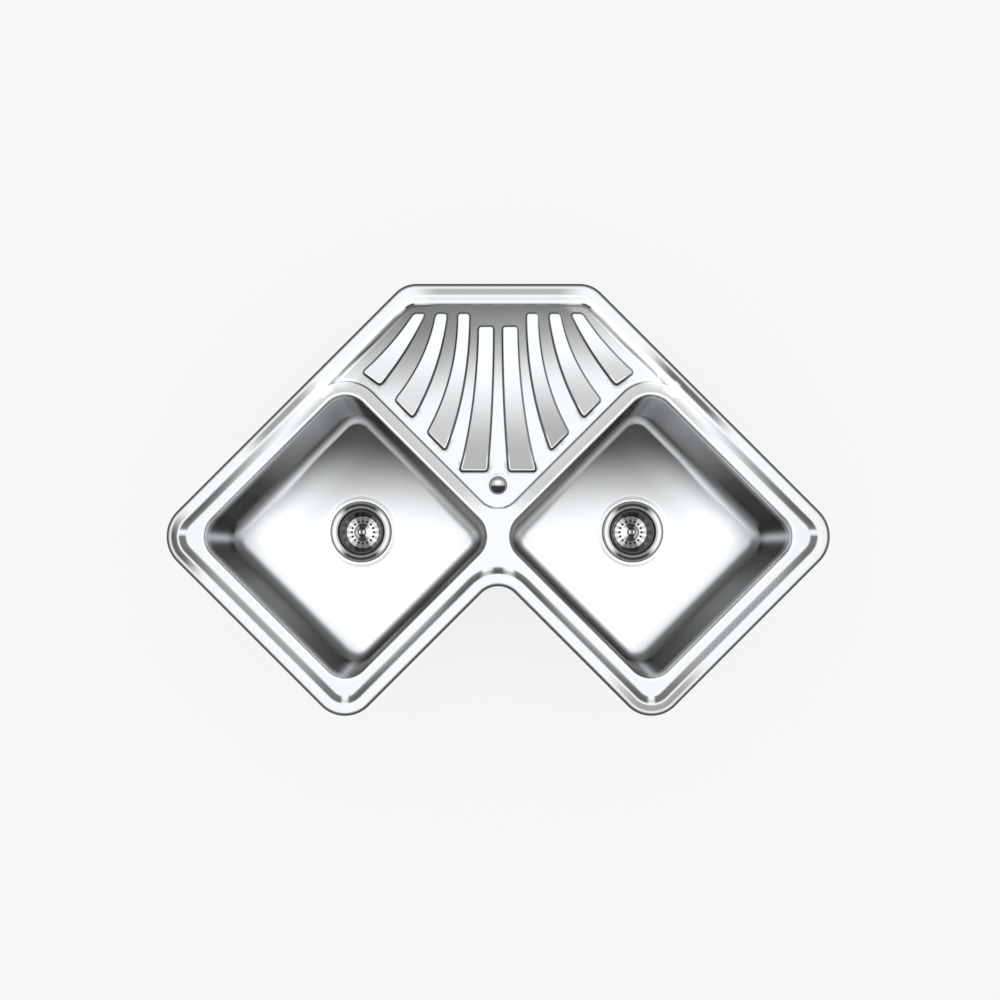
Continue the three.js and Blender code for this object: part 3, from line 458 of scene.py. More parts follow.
def node(tree, kind, inputs=(), output=0, **settings):
    """Adds a node and gives one of its outputs, or all of them where output is None. An input is a
    value, a socket to link, or a list of sockets that meet in it."""
    made = tree.nodes.new(kind)
    for name, value in settings.items():
        setattr(made, name, value)
    for name, value in dict(inputs).items():
        if isinstance(value, (bpy.types.NodeSocket, list)):
            for socket in value if isinstance(value, list) else [value]:
                tree.links.new(socket, made.inputs[name])
        else:
            made.inputs[name].default_value = value
    return made.outputs if output is None else made.outputs[output]


def rgba(value):
    return (*value, 1)


MULTIPLY = {"data_type": "RGBA", "blend_type": "MULTIPLY"}
DRAWN_ROUGHER = 0.26


def times_painted_light(tree, colour):
    """A colour times the painted light and shade that each point of the piece carries."""
    tone = node(tree, "ShaderNodeAttribute", output="Fac", attribute_name="tone")
    return node(tree, "ShaderNodeMix", {"Factor": 1.0, "A": colour, "B": tone}, "Result", **MULTIPLY)


def speckled(tree, base, noise, tint, roughness):
    """The base colour and a roughness that both follow one noise, between the values of a pair."""
    place = node(tree, "ShaderNodeTexCoord", output="Object")
    speckle = node(tree, "ShaderNodeTexNoise", {"Vector": place, **noise}, "Fac")
    shade, rough = [
        node(tree, "ShaderNodeMapRange", {"Value": speckle, "To Min": low, "To Max": high})
        for low, high in (tint, roughness)
    ]
    tinted = node(tree, "ShaderNodeMix", {"Factor": 1.0, "A": base, "B": shade}, "Result", **MULTIPLY)
    return tinted, rough, speckle


def brushed_steel(tree, base, roughness):
    """18/10 stainless sheet with a brushed finish: pale warm grey, fine parallel lines that blur
    reflections, duller walls where it was drawn deep, and faint clouds from handling. Its colour is
    multiplied by the painted light and shade of each point."""
    clouds = {"Scale": 9, "Detail": 3}
    tinted, uneven, _ = speckled(tree, base, clouds, (0.96, 1.03), (-0.03, 0.03))
    place = node(tree, "ShaderNodeTexCoord", output="Object")
    along = node(tree, "ShaderNodeMapping", {"Vector": place, "Scale": (0.02, 1, 1)})
    grain = {"Vector": along, "Scale": 1 / sizes().grain, "Detail": 2, "Roughness": 0.6}
    lines = node(tree, "ShaderNodeTexNoise", grain, "Fac")
    lined = {"Value": lines, "To Min": roughness - 0.05, "To Max": roughness + 0.05}
    rough = node(tree, "ShaderNodeMapRange", lined)
    drawn = node(tree, "ShaderNodeAttribute", output="Fac", attribute_name="drawn")
    dulled = {0: drawn, 1: DRAWN_ROUGHER, 2: uneven}
    duller = node(tree, "ShaderNodeMath", dulled, operation="MULTIPLY_ADD")
    total = node(tree, "ShaderNodeMath", {0: rough, 1: duller}, operation="ADD")
    bump = node(tree, "ShaderNodeBump", {"Height": lines, "Strength": 0.12, "Distance": 0.02 * MM})
    return node(
        tree, "ShaderNodeBsdfPrincipled",
        {"Base Color": times_painted_light(tree, tinted), "Metallic": 1, "Roughness": total, "Normal": bump},
    )


def turned_steel(tree, base, roughness, anisotropy):
    """Polished stainless turned on a lathe: fine grooves round the axis draw each highlight out from
    the middle to the edge, and its colour also carries a painted bow-tie highlight and painted shade."""
    clouds = {"Scale": 40, "Detail": 3}
    even, rough, _ = speckled(tree, base, clouds, (1, 1), (roughness - 0.04, roughness + 0.04))
    tangent = node(tree, "ShaderNodeTangent", direction_type="UV_MAP", uv_map="turning")
    return node(
        tree, "ShaderNodeBsdfPrincipled",
        {"Base Color": times_painted_light(tree, even), "Metallic": 1, "Roughness": rough, "Tangent": tangent,
         "Anisotropic": anisotropy, "Anisotropic Rotation": 0.25},
    )


def coated_metal(tree, base, roughness, mottle, mottle_size, with_painted_light=False):
    """Plated metal: chrome is mirror bright and even in itself, zinc is dull with a fine crystal mottle.
    When asked, the colour also carries painted highlights and painted shade, as on the chrome cap.
    """
    crystals = {"Scale": 1 / mottle_size, "Detail": 4}
    dull = (roughness * (1 - mottle), roughness * (1 + mottle))
    tinted, rough, _ = speckled(tree, base, crystals, (1 - mottle / 3, 1), dull)
    if with_painted_light:
        tinted = times_painted_light(tree, tinted)
    metal = {"Base Color": tinted, "Metallic": 1, "Roughness": rough}
    return node(tree, "ShaderNodeBsdfPrincipled", metal)


def moulded(tree, base, roughness, texture_size, texture_depth, ior=1.49):
    """Moulded plastic, rubber, foam or bitumen: an even colour with a fine pitted or leathery skin."""
    pits = {"Scale": 1 / texture_size, "Detail": 5}
    dull = (roughness - 0.06, roughness + 0.06)
    tinted, rough, skin = speckled(tree, base, pits, (0.85, 1.15), dull)
    bump = node(tree, "ShaderNodeBump", {"Height": skin, "Strength": 0.4, "Distance": texture_depth})
    return node(
        tree, "ShaderNodeBsdfPrincipled",
        {"Base Color": tinted, "Roughness": rough, "IOR": ior, "Normal": bump},
    )


# each material's maker, colour, slot of the record and numbers: roughness first, then for turned
# steel its anisotropy, for plating its mottle and that mottle's size and for chrome a flag that its
# colour carries painted highlights and shade, and for moulded skins the texture's size, depth and IOR
MATERIALS = {
    "brushed_stainless_deck": (brushed_steel, "steel", "brushed_steel", 0.26),
    "brushed_stainless_bowl": (brushed_steel, "steel", "brushed_steel", 0.34),
    "polished_stainless_turned": (turned_steel, "polished", "polished_steel", 0.2, 0.7),
    "bright_chrome": (coated_metal, "chrome", "chrome", 0.12, 0.2, 20 * MM, True),
    "zinc_plated_steel": (coated_metal, "zinc", "zinc_steel", 0.42, 0.35, 1.2 * MM),
    "black_epdm_rubber": (moulded, "rubber", "black_rubber", 0.62, 0.7 * MM, 0.03 * MM, 1.52),
    "black_polypropylene": (moulded, "black_plastic", "black_plastic", 0.42, 0.5 * MM, 0.02 * MM),
    "grey_polypropylene": (moulded, "grey_plastic", "grey_plastic", 0.4, 0.6 * MM, 0.02 * MM),
    "bitumen_pad": (moulded, "bitumen", "bitumen_pad", 0.7, 3 * MM, 0.15 * MM),
    "closed_cell_foam": (moulded, "foam", "grey_foam", 0.85, 0.9 * MM, 0.15 * MM),
}


def emptied(owner):
    """The node tree of a new material or world, without the nodes that it starts with."""
    owner.use_nodes = True
    owner.node_tree.nodes.clear()
    return owner.node_tree


def material_named(name):
    """The material of that name, made when it is first asked for."""
    if name not in bpy.data.materials:
        make, tint, _, *numbers = MATERIALS[name]
        tree = emptied(bpy.data.materials.new(name))
        shader = make(tree, rgba(getattr(finishes(), tint)), *numbers)
        node(tree, "ShaderNodeOutputMaterial", {"Surface": shader}, None)
    return bpy.data.materials[name]


# ------------------------------------------------------------------ geometry nodes


def tree_of(name, sockets, build):
    """A geometry node tree with named inputs, which ends in Realize Instances and Set Material."""
    tree = bpy.data.node_groups.new(name, "GeometryNodeTree")
    for socket, kind in (("Geometry", "Geometry"), *sockets, ("Material", "Material")):
        tree.interface.new_socket(socket, in_out="INPUT", socket_type=f"NodeSocket{kind}")
    tree.interface.new_socket("Geometry", in_out="OUTPUT", socket_type="NodeSocketGeometry")
    given = node(tree, "NodeGroupInput", output=None)
    whole = node(tree, "GeometryNodeRealizeInstances", {"Geometry": build(tree, given)})
    covered = {"Geometry": whole, "Material": given["Material"]}
    node(tree, "NodeGroupOutput", {"Geometry": node(tree, "GeometryNodeSetMaterial", covered)}, None)
    return tree


def copied(tree, given, points, turn):
    """Copies of the given shape on points, turned round Z."""
    shape = node(tree, "GeometryNodeObjectInfo", {"Object": given["Shape"]}, "Geometry")
    turns = node(tree, "ShaderNodeCombineXYZ", {"Z": turn})
    placed = {"Points": points, "Instance": shape, "Rotation": turns}
    return node(tree, "GeometryNodeInstanceOnPoints", placed)


def on_marks(tree, given):
    """Copies stand on the carrier's points, each turned by its own angle."""
    turn = node(tree, "GeometryNodeInputNamedAttribute", {"Name": "turn"}, "Attribute", data_type="FLOAT")
    return copied(tree, given, given["Geometry"], turn)


def all_round(tree, given):
    """Adds copies of a shape to a piece, spaced evenly round the Z axis."""
    points = node(tree, "GeometryNodeMeshCircle", {"Vertices": given["Count"], "Radius": given["Radius"]})
    index = node(tree, "GeometryNodeInputIndex")
    share = node(tree, "ShaderNodeMath", {0: index, 1: given["Count"]}, operation="DIVIDE")
    angle = node(tree, "ShaderNodeMath", {0: share, 1: math.tau}, operation="MULTIPLY")
    parts = [given["Geometry"], copied(tree, given, points, angle)]
    return node(tree, "GeometryNodeJoinGeometry", {"Geometry": parts})


def one_above_another(tree, given):
    """Adds copies of a shape to a piece, one above the other."""
    step = node(tree, "ShaderNodeCombineXYZ", {"Z": given["Pitch"]})
    start = node(tree, "ShaderNodeCombineXYZ", {"Z": given["Start"]})
    column = {"Count": given["Count"], "Start Location": start, "Offset": step}
    parts = [given["Geometry"], copied(tree, given, node(tree, "GeometryNodeMeshLine", column), 0.0)]
    return node(tree, "GeometryNodeJoinGeometry", {"Geometry": parts})


def perforation(tree, given):
    """Cuts a circle of round holes and one middle hole through a thin floor."""
    marks = {"Vertices": given["Holes"], "Radius": given["Circle Radius"]}
    ring = node(tree, "GeometryNodeMeshCircle", marks)
    drill, middle_drill = [
        node(
            tree, "GeometryNodeMeshCylinder",
            {"Vertices": sides, "Radius": given[radius], "Depth": given["Depth"]},
        )
        for sides, radius in ((24, "Hole Radius"), (32, "Middle Radius"))
    ]
    drills = node(tree, "GeometryNodeInstanceOnPoints", {"Points": ring, "Instance": drill})
    every_drill = node(tree, "GeometryNodeJoinGeometry", {"Geometry": [drills, middle_drill]})
    real = node(tree, "GeometryNodeRealizeInstances", {"Geometry": every_drill})
    height = node(tree, "ShaderNodeCombineXYZ", {"Z": given["Height"]})
    placed = node(tree, "GeometryNodeTransform", {"Geometry": real, "Translation": height})
    meshes = {"Mesh 1": given["Geometry"], "Mesh 2": placed}
    return node(tree, "GeometryNodeMeshBoolean", meshes, operation="DIFFERENCE", solver="MANIFOLD")


SHAPE = ("Shape", "Object")
TREES = {
    "copies_on_points": ((SHAPE,), on_marks),
    "copies_round": ((("Count", "Int"), ("Radius", "Float"), SHAPE), all_round),
    "copies_up": (
        (("Count", "Int"), ("Start", "Float"), ("Pitch", "Float"), SHAPE), one_above_another),
    "perforation": (
        (("Holes", "Int"), ("Circle Radius", "Float"), ("Hole Radius", "Float"),
         ("Middle Radius", "Float"), ("Height", "Float"), ("Depth", "Float")), perforation),
}


def run_tree(made, tree_name, shape=None, **values):
    """Runs a tree on a piece, with a shell or an object to copy, and leaves one plain mesh."""
    tree = bpy.data.node_groups.get(tree_name) or tree_of(tree_name, *TREES[tree_name])
    modifier = made.modifiers.new("copies", "NODES")
    modifier.node_group = tree
    if isinstance(shape, Shell):
        shape = piece(f"{made.name}_part", shape)
    if shape:
        values["Shape"] = shape
    for socket in tree.interface.items_tree:
        value = values.get(socket.name.replace(" ", "_"))
        if socket.in_out == "INPUT" and value is not None:
            modifier[socket.identifier] = value
    plain(made)
    if shape:
        bpy.data.objects.remove(shape)
    smooth(made.data)
    return made


# ------------------------------------------------------------------ places worked out


def places():
    """Where the pressing's corners and centres are, from the sizes and the frame."""
    s = sizes()
    diagonal = math.sqrt(0.5)
    _, deck_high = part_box("deck")
    bowl_low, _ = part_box("right_bowl")
    bowl = middle("right_bowl")
    room_y = deck_high.y + s.corner_cut
    tip_x = s.wall_leg * diagonal
    tip_y = room_y - tip_x
    front_x = (s.wall_leg - s.wing_width) * diagonal
    front_y = room_y - (s.wall_leg + s.wing_width) * diagonal
    notch_y = room_y - s.wing_width * math.sqrt(2)
    right = [
        (front_x, front_y, s.front_radius), (tip_x, tip_y, s.tip_radius),
        (s.corner_cut, deck_high.y, s.back_radius),
    ]
    left = [(-x, y, radius) for x, y, radius in reversed(right)]
    return SimpleNamespace(
        rim_top=deck_high.z, bowl_x=bowl.x, bowl_y=bowl.y, room_y=room_y,
        tip_x=tip_x, tip_y=tip_y, front_x=front_x, front_y=front_y, notch_y=notch_y,
        floor_z=bowl_low.z + s.sheet + s.waste_drop,
        collar_bottom=s.deck_height - s.lip_radius - s.collar,
        land_tip_y=bowl.y - bowl.x + (s.bowl_side / 2 + s.land) * math.sqrt(2),
        recess_back_y=deck_high.y - s.recess_back,
        outlet=np.array([0.0, middle("overflow_gasket").y]),
        rim_corners=[*right, *left, (0.0, notch_y, s.notch_radius)],
    )


def rim_line(p):
    """The rim's outer edge, fine enough to measure from."""
    return rounded(p.rim_corners, spacing=40 * MM, turn_step=math.radians(1))


def from_room_wall(p, x, y):
    return (p.room_y - np.abs(x) - y) / math.sqrt(2)


def bowl_ring(s, p, side, inset, radius, straight_steps=40):
    """A square set on its corner with rounded corners, as each bowl stands in its wing."""
    reach = (s.bowl_side / 2 - inset) * math.sqrt(2)
    x = side * p.bowl_x
    corners = [
        (x + reach, p.bowl_y, radius),
        (x, p.bowl_y + reach, radius),
        (x - reach, p.bowl_y, radius),
        (x, p.bowl_y - reach, radius),
    ]
    return rounded(corners, straight_steps=straight_steps)


# ------------------------------------------------------------------ deck pressing


def recess_ring(s, p, inset):
    """The drainer's edge moved in by inset: round its point, up along one land and round it to the
    side line, over the back, and down the other side."""
    tip = (0.0, p.land_tip_y + s.recess_tip * math.sqrt(2))
    land_centre = (p.bowl_x, p.bowl_y + (s.bowl_side / 2 - s.bowl_radius) * math.sqrt(2))
    land_radius = s.bowl_radius + s.land + inset
    side_gap = (p.room_y - land_centre[0] - land_centre[1]) / math.sqrt(2) - s.recess_side - inset
    meeting = math.pi / 4 + math.acos(min(1, side_gap / land_radius))
    corner_x = (p.room_y - s.recess_side * math.sqrt(2)) - p.recess_back_y
    back_in = s.recess_corner * math.tan(math.pi / 8)
    corner = (corner_x - back_in, p.recess_back_y - s.recess_corner)
    half_point = arc(tip, s.recess_tip - inset, -math.pi / 2, -math.pi / 4)
    land_round = arc(land_centre, land_radius, 0.75 * math.pi, meeting)
    back_corner = arc(corner, s.recess_corner - inset, math.pi / 4, math.pi / 2)
    right = np.concatenate([half_point, land_round, back_corner])
    left = right[:0:-1] * (-1, 1)
    return np.concatenate([right, left])


FINGER_TOP_FROM_EDGE = 17 * MM
MIDDLE_FINGER_TOP_FROM_EDGE = 39 * MM
FINGER_FOOT_CLEARANCE = 20 * MM
OUTER_FOOT_DROP = 8.5 * MM
# places across the fan, as shares of the bowls' distance from the middle
FINGER_TOP_PITCH = 0.1449
FINGER_TOP_WIDTH = 0.0755
FINGER_FOOT_PITCH = 0.2127
FINGER_FOOT_WIDTH = 0.1156
SECOND_FINGER_TOP = 0.1873
SECOND_FINGER_FOOT = 0.3476
MIDDLE_FINGER_TOP = (0.0308, 0.1275)
MIDDLE_FINGER_FOOT = (0.0717, 0.2493)
MIDDLE_FOOT_FROM_OUTLET = 24.35 * MM
FINGER_BEND = 0.54


def finger_outline(s, top, top_y, inner_foot, outer_foot, lean):
    """One finger between two bowed sides, from its narrow top to its wide foot."""

    def bowed_side(x, foot):
        start, foot = np.array([x, top_y]), np.array(foot)
        return bowed(start, start + (lean, FINGER_BEND) * (foot - start), foot, 40)

    def clear_of_corners(line):
        from_ends = [np.linalg.norm(line - end, axis=1) for end in (line[0], line[-1])]
        return line[np.minimum(*from_ends) > s.finger_corner]

    sides = bowed_side(top[0], inner_foot), bowed_side(top[1], outer_foot)[::-1]
    line = []
    for this, following in (sides, sides[::-1]):
        kept, end, start = clear_of_corners(this), this[-1], following[0]
        across = unit(start - end) * s.finger_corner
        next_side = clear_of_corners(following)[0]
        line += [kept, bowed(kept[-1], end, end + across, 8), bowed(start - across, start, next_side, 8)]
    points = np.concatenate(line)
    apart = np.linalg.norm(points - np.roll(points, 1, axis=0), axis=1) > 0.1 * MM
    return spaced(points[apart], 6 * MM)


def finger_outlines(s, p):
    """The right half's fingers from the middle outwards, then their mirror images."""
    fan = p.bowl_x
    foot_line = p.land_tip_y + FINGER_FOOT_CLEARANCE * math.sqrt(2)
    foot_y = p.outlet[1] + MIDDLE_FOOT_FROM_OUTLET
    right = [finger_outline(
        s, [share * fan for share in MIDDLE_FINGER_TOP], p.recess_back_y - MIDDLE_FINGER_TOP_FROM_EDGE,
        (MIDDLE_FINGER_FOOT[0] * fan, foot_y), (MIDDLE_FINGER_FOOT[1] * fan, foot_y), 0.05,
    )]
    for k in range(3):
        top_x = (SECOND_FINGER_TOP + k * FINGER_TOP_PITCH) * fan
        foot_x = (SECOND_FINGER_FOOT + k * FINGER_FOOT_PITCH) * fan
        far_x = foot_x + FINGER_FOOT_WIDTH * fan
        drop = OUTER_FOOT_DROP if k == 2 else 0
        right.append(finger_outline(
            s, (top_x, top_x + FINGER_TOP_WIDTH * fan), p.recess_back_y - FINGER_TOP_FROM_EDGE,
            (foot_x, foot_x + foot_line), (far_x, far_x + foot_line - drop), 0.2 * k,
        ))
    return right + [line[::-1] * (-1, 1) for line in right]


FINGER_CROWN = 1.6 * MM
FLOOR_SAG = 0.8 * MM
FINGER_SHOULDER = 1.4 * MM
# beside the room's walls the drainer's side has a wider slope
WALL_SLOPE = 3 * MM
WALL_REACH, WALL_FADE = 66 * MM, 26 * MM


def deck_surface(s, p, finger_lines):
    """The height of the pressing's upper face at any place, as a function."""
    edge = rim_line(p)
    drainer_line = recess_ring(s, p, 0)
    _, outlet_y = p.outlet

    def over_drainer(y, front_rise, back_rise, bow):
        """A line over the drainer's slope from the outlet to the back, bowed in its middle."""
        share = (y - outlet_y) / (p.recess_back_y - outlet_y)
        slope = s.deck_height - s.floor_front + share * (s.floor_front - s.floor_back)
        rise = front_rise + (back_rise - front_rise) * share
        return slope + rise + bow * np.clip(4 * share * (1 - share), 0, 1)

    seat_z = s.deck_height - s.floor_front - s.outlet_drop

    def height(points):
        x, y = points.T
        inset = depth_inside(points, edge)
        crown_share = np.clip((inset - s.rim_edge) / (s.rim_flat - s.rim_edge), 0, 1)
        crown = s.rim_crown * (1 - np.cos(2 * np.pi * crown_share)) / 2
        step = ramped((inset - s.rim_flat) / s.step_run)
        z = p.rim_top - s.rim_crown + crown + (s.deck_height - p.rim_top + s.rim_crown) * step
        z += s.rim_crown * (1 - eased(crown_share * 2)) * (crown_share < 0.5)
        z = np.minimum(z, p.rim_top)
        widened = eased((WALL_REACH - from_room_wall(p, x, y)) / WALL_FADE)
        run = s.recess_run + WALL_SLOPE * widened * eased((y - 220 * MM) / (50 * MM))
        in_drainer = ramped(depth_inside(points, drainer_line) / run, 0.3)
        z += (over_drainer(y, 0, 0, -FLOOR_SAG) - z) * in_drainer
        for line in finger_lines:
            reach = s.finger_bevel * 2
            near = (points > line.min(axis=0) - reach) & (points < line.max(axis=0) + reach)
            near = near.all(axis=1)
            if not near.any():
                continue
            depth = depth_inside(points[near], line)
            rise = eased((depth + s.finger_bevel) / (s.finger_bevel + FINGER_SHOULDER))
            top = over_drainer(y[near], s.finger_front, s.finger_back, FINGER_CROWN)
            z[near] += (top - z[near]) * rise
        from_outlet = np.linalg.norm(points - p.outlet, axis=1)
        into_seat = eased((s.outlet_seat + 2 * MM - from_outlet) / (5 * MM))
        return z + (seat_z - z) * into_seat

    return height


# millimetres inside the rim, the drainer's edge, each finger's edge, and outside each bowl, where
# the sheet has a line of points
RIM_CREASES = (
    3.6, 4.4, 5.4, 6.6, 8.2, 10, 12.5, 15, 17.5, 19.4, 20.2, *range(21, 30), 29.8, 31, 34)
RECESS_CREASES = (-1.2, -0.3, 0, 0.4, 0.8, 1.2, 2, 2.8, 3.2, 3.6, 4, 4.4, 5.4, 7, 8.6, 10.2)
FINGER_CREASES = (-3.2, -2.4, -2, -1.5, -1, -0.5, 0, 0.5, 1, 1.4, 2, 2.8, 3.6)
LIP_CREASES = (5.8, 7.5)
OUTLET_CREASES = (12, 15, 17, 18.2, 19.4, 20.6, 22, 23)


def deck_mesh(s, p):
    """Rim edge, upper sheet with its creases, rolled bowl lips and collars, as one skin."""
    fingers = finger_outlines(s, p)
    height = deck_surface(s, p, fingers)

    def lip_line(side, outset):
        return bowl_ring(s, p, side, -outset, s.bowl_radius + outset)

    seam, edge = rounded(p.rim_corners, s.rim_edge), rounded(p.rim_corners)
    rings = [at_height(edge, s.rim_skirt), at_height(edge, p.rim_top - s.rim_edge - 0.2 * MM)]
    for inset, drop in quarter_round(s.rim_edge, (0, 15, 30, 45, 60, 75)):
        rings.append(at_height(rounded(p.rim_corners, inset), p.rim_top - drop))
    shell = Shell().band([*rings, at_height(seam, height(seam))])

    lips = []
    for _, side in SIDES:
        rings = [
            at_height(lip_line(side, outset), s.deck_height - drop)
            for drop, outset in quarter_round(s.lip_radius, (0, 12, 24, 36, 48, 60, 72, 84, 90))
        ]
        lips.append(rings[0][:, :2])
        shell.band([*rings, at_height(rings[-1][:, :2], p.collar_bottom)])

    creases = [rounded(p.rim_corners, inset * MM) for inset in RIM_CREASES]
    creases += [spaced(recess_ring(s, p, inset * MM), 8 * MM) for inset in RECESS_CREASES]
    creases += [moved_in(line, inset * MM) for line in fingers for inset in FINGER_CREASES]
    creases += [lip_line(side, outset * MM) for _, side in SIDES for outset in LIP_CREASES]
    creases += [circle(p.outlet, radius * MM, 64) for radius in OUTLET_CREASES]
    grid = grid_inside(recess_ring(s, p, 0), 6 * MM, 12 * MM)
    away = np.linalg.norm(grid - p.outlet, axis=1) > s.outlet_seat + 5 * MM
    for line in fingers:
        depth = depth_inside(grid, line)
        away &= (depth > 5 * MM) | (depth < -4.5 * MM)
    shell.sheet(seam, [*lips, circle(p.outlet, s.outlet_hole, 64)], creases, height, grid[away])
    return mesh_of("deck_pressing", shell), fingers


# limits of the painted light and shade that multiply the steel's colour
PAINTED_LIGHT_RANGE = (0.02, 1.42)


def points_of(mesh):
    flat = np.empty(len(mesh.vertices) * 3)
    mesh.vertices.foreach_get("co", flat)
    return flat.reshape(-1, 3)


def store(mesh, name, values):
    """Keeps one number for each point of a mesh."""
    mesh.attributes.new(name, "FLOAT", "POINT").data.foreach_set("value", values)


def store_painted_light(mesh, tone):
    """Stores the painted light and shade of each point, which the steel's material multiplies into its
    colour.
    """
    store(mesh, "tone", np.clip(tone, *PAINTED_LIGHT_RANGE))


def between(value, low, high, soft):
    """1 between low and high, falling to 0 over soft on both sides."""
    return eased((value - low + soft) / soft) * eased((high + soft - value) / soft)


def toned(tone, mask, value):
    """Moves a value towards another where the mask is 1, as the painted light and shade are laid."""
    return tone + (value - tone) * mask


# painted grey reflections on the rim's flat: across, along, reach in metres, and painted brightness
RIM_SHADES = [
    (-0.56, -0.085, 0.055, 0.14), (0.275, -0.345, 0.075, 0.4),
    (-0.365, 0.14, 0.065, 0.38), (0.325, 0.185, 0.075, 0.16),
]
# the band across the step that is painted dark as shade
PAINTED_STEP_SHADE_BAND = (22.5 * MM, 31.5 * MM)
# painted dark reflection along the rolled outer edge, and a painted grey reflection streak across the
# back of the flat
RIM_EDGE_PAINTED_SHADE, BACK_STREAK_PAINTED_SHADE = 0.13, 0.52
# the drainer floor's painted brightness on the way from its front to its back, and how much further
# back it stays bright on the left, on the right, and along the left and right walls
DRAINER_PLACES = np.array([180, 200, 220, 240, 260, 280, 300, 331]) * MM
DRAINER_PAINTED_LIGHT = (1.0, 0.94, 0.82, 0.66, 0.52, 0.4, 0.33, 0.21)
DRAINER_SHIFTS = (-28 * MM, 15 * MM, -5 * MM, 60 * MM)
# painted shade in the drainer's back corner and a painted highlight at its acute corner
BACK_CORNER = (0.151, 0.331)
BACK_CORNER_PAINTED_SHADE, ACUTE_CORNER_PAINTED_HIGHLIGHT = 0.12, 1.4
# painted shade on each finger at its foot: right side from the middle outwards, then left side
FINGER_FOOT_PAINTED_SHADES = (0.5, 0.47, 0.64, 0.7, 0.5, 0.64, 0.8, 0.9)
# painted highlight on a finger's top and at its end
FINGER_TOP_PAINTED_LIGHT, FINGER_END_PAINTED_HIGHLIGHT = 1.05, 1.15
# the painted shade line round a finger, darker than on its right-hand side
FINGER_LINE_PAINTED_SHADE, FINGER_RIGHT_PAINTED_SHADE = 0.17, 0.42
# painted grey reflection on the lands beside the bowls
LAND_PAINTED_SHADE = 0.64
# one even value of the painted light and shade, given to the back of each pressing
BACK_TONE = 0.6


def pressed(mesh, material, node_name):
    """Gives a drawn sheet its gauge under the face with painted light and shade, and one even value of
    that painted light on the back.
    """
    if sum(face.normal.z * face.area for face in mesh.polygons) < 0:
        mesh.flip_normals()
    made = show(mesh)
    gauge = made.modifiers.new("gauge", "SOLIDIFY")
    gauge.thickness = sizes().sheet
    gauge.offset = -1
    gauge.use_even_offset = True
    plain(made)
    tones = np.empty(len(made.data.vertices))
    made.data.attributes["tone"].data.foreach_get("value", tones)
    tones[len(mesh.vertices) :] = BACK_TONE
    made.data.attributes["tone"].data.foreach_set("value", tones)
    finish(made, material, [node_name])


def past_middle(value):
    """0 well before a bowl's middle and 1 well past it."""
    return eased((value + 12 * MM) / (24 * MM))


def rim_painted_light(s, p, x, y, inset):
    """Painted light and shade of the rim and its step: painted dark along the outer edge, painted grey
    reflections on the flat, and a step painted dark that is lighter mid-edge and breaks at the corners."""
    across = np.abs(x)
    tone = np.ones(len(x))
    for spot_x, spot_y, reach, value in RIM_SHADES:
        near = eased((1.5 * reach - np.hypot(x - spot_x, y - spot_y)) / reach)
        tone = toned(tone, near * between(inset, 9.5 * MM, 17 * MM, 2.5 * MM), value)
    # a painted grey reflection streak across the back of the flat
    streak = between(inset, 10 * MM, 18 * MM, 2.5 * MM) * eased((0.15 - across) / 0.05)
    tone = toned(tone, streak * (y > p.tip_x / 2), BACK_STREAK_PAINTED_SHADE)
    # painted dark reflection along the rolled outer edge
    tone = toned(tone, eased((6.6 * MM - inset) / (3 * MM)), RIM_EDGE_PAINTED_SHADE)
    # the step's painted shade, lighter along the room's walls towards the back and away from the corners,
    # with gaps at the tips, the front corners and the notch
    corners = [(p.tip_x, p.tip_y), (p.front_x, p.front_y), (0, p.notch_y)]
    from_corner = np.min([np.hypot(across - cx, y - cy) for cx, cy in corners], axis=0)
    from_wall = from_room_wall(p, x, y)
    step_tone = 0.19 + 0.21 * eased((from_corner - 60 * MM) / (90 * MM))
    wall_tone = 0.2 + 0.9 * eased((y + 20 * MM) / (190 * MM))
    step_tone = np.where(from_wall < 45 * MM, wall_tone, step_tone)
    tip_gap = between(y, p.tip_y + 5 * MM, p.tip_y + 9 * MM, 5 * MM) * (across > p.bowl_x)
    front_gap = between(across, p.front_x - 3 * MM, p.front_x + 3 * MM, 5 * MM) * (y < p.bowl_y)
    notch_gap = between(across, 14 * MM, 24 * MM, 6 * MM) * (y < p.bowl_y + 0.1)
    step = between(inset, *PAINTED_STEP_SHADE_BAND, 2.4 * MM) * (1 - tip_gap) * (1 - front_gap) * (1 - notch_gap)
    step *= (y < p.recess_back_y) | (from_wall < 45 * MM)
    return toned(tone, step, step_tone)


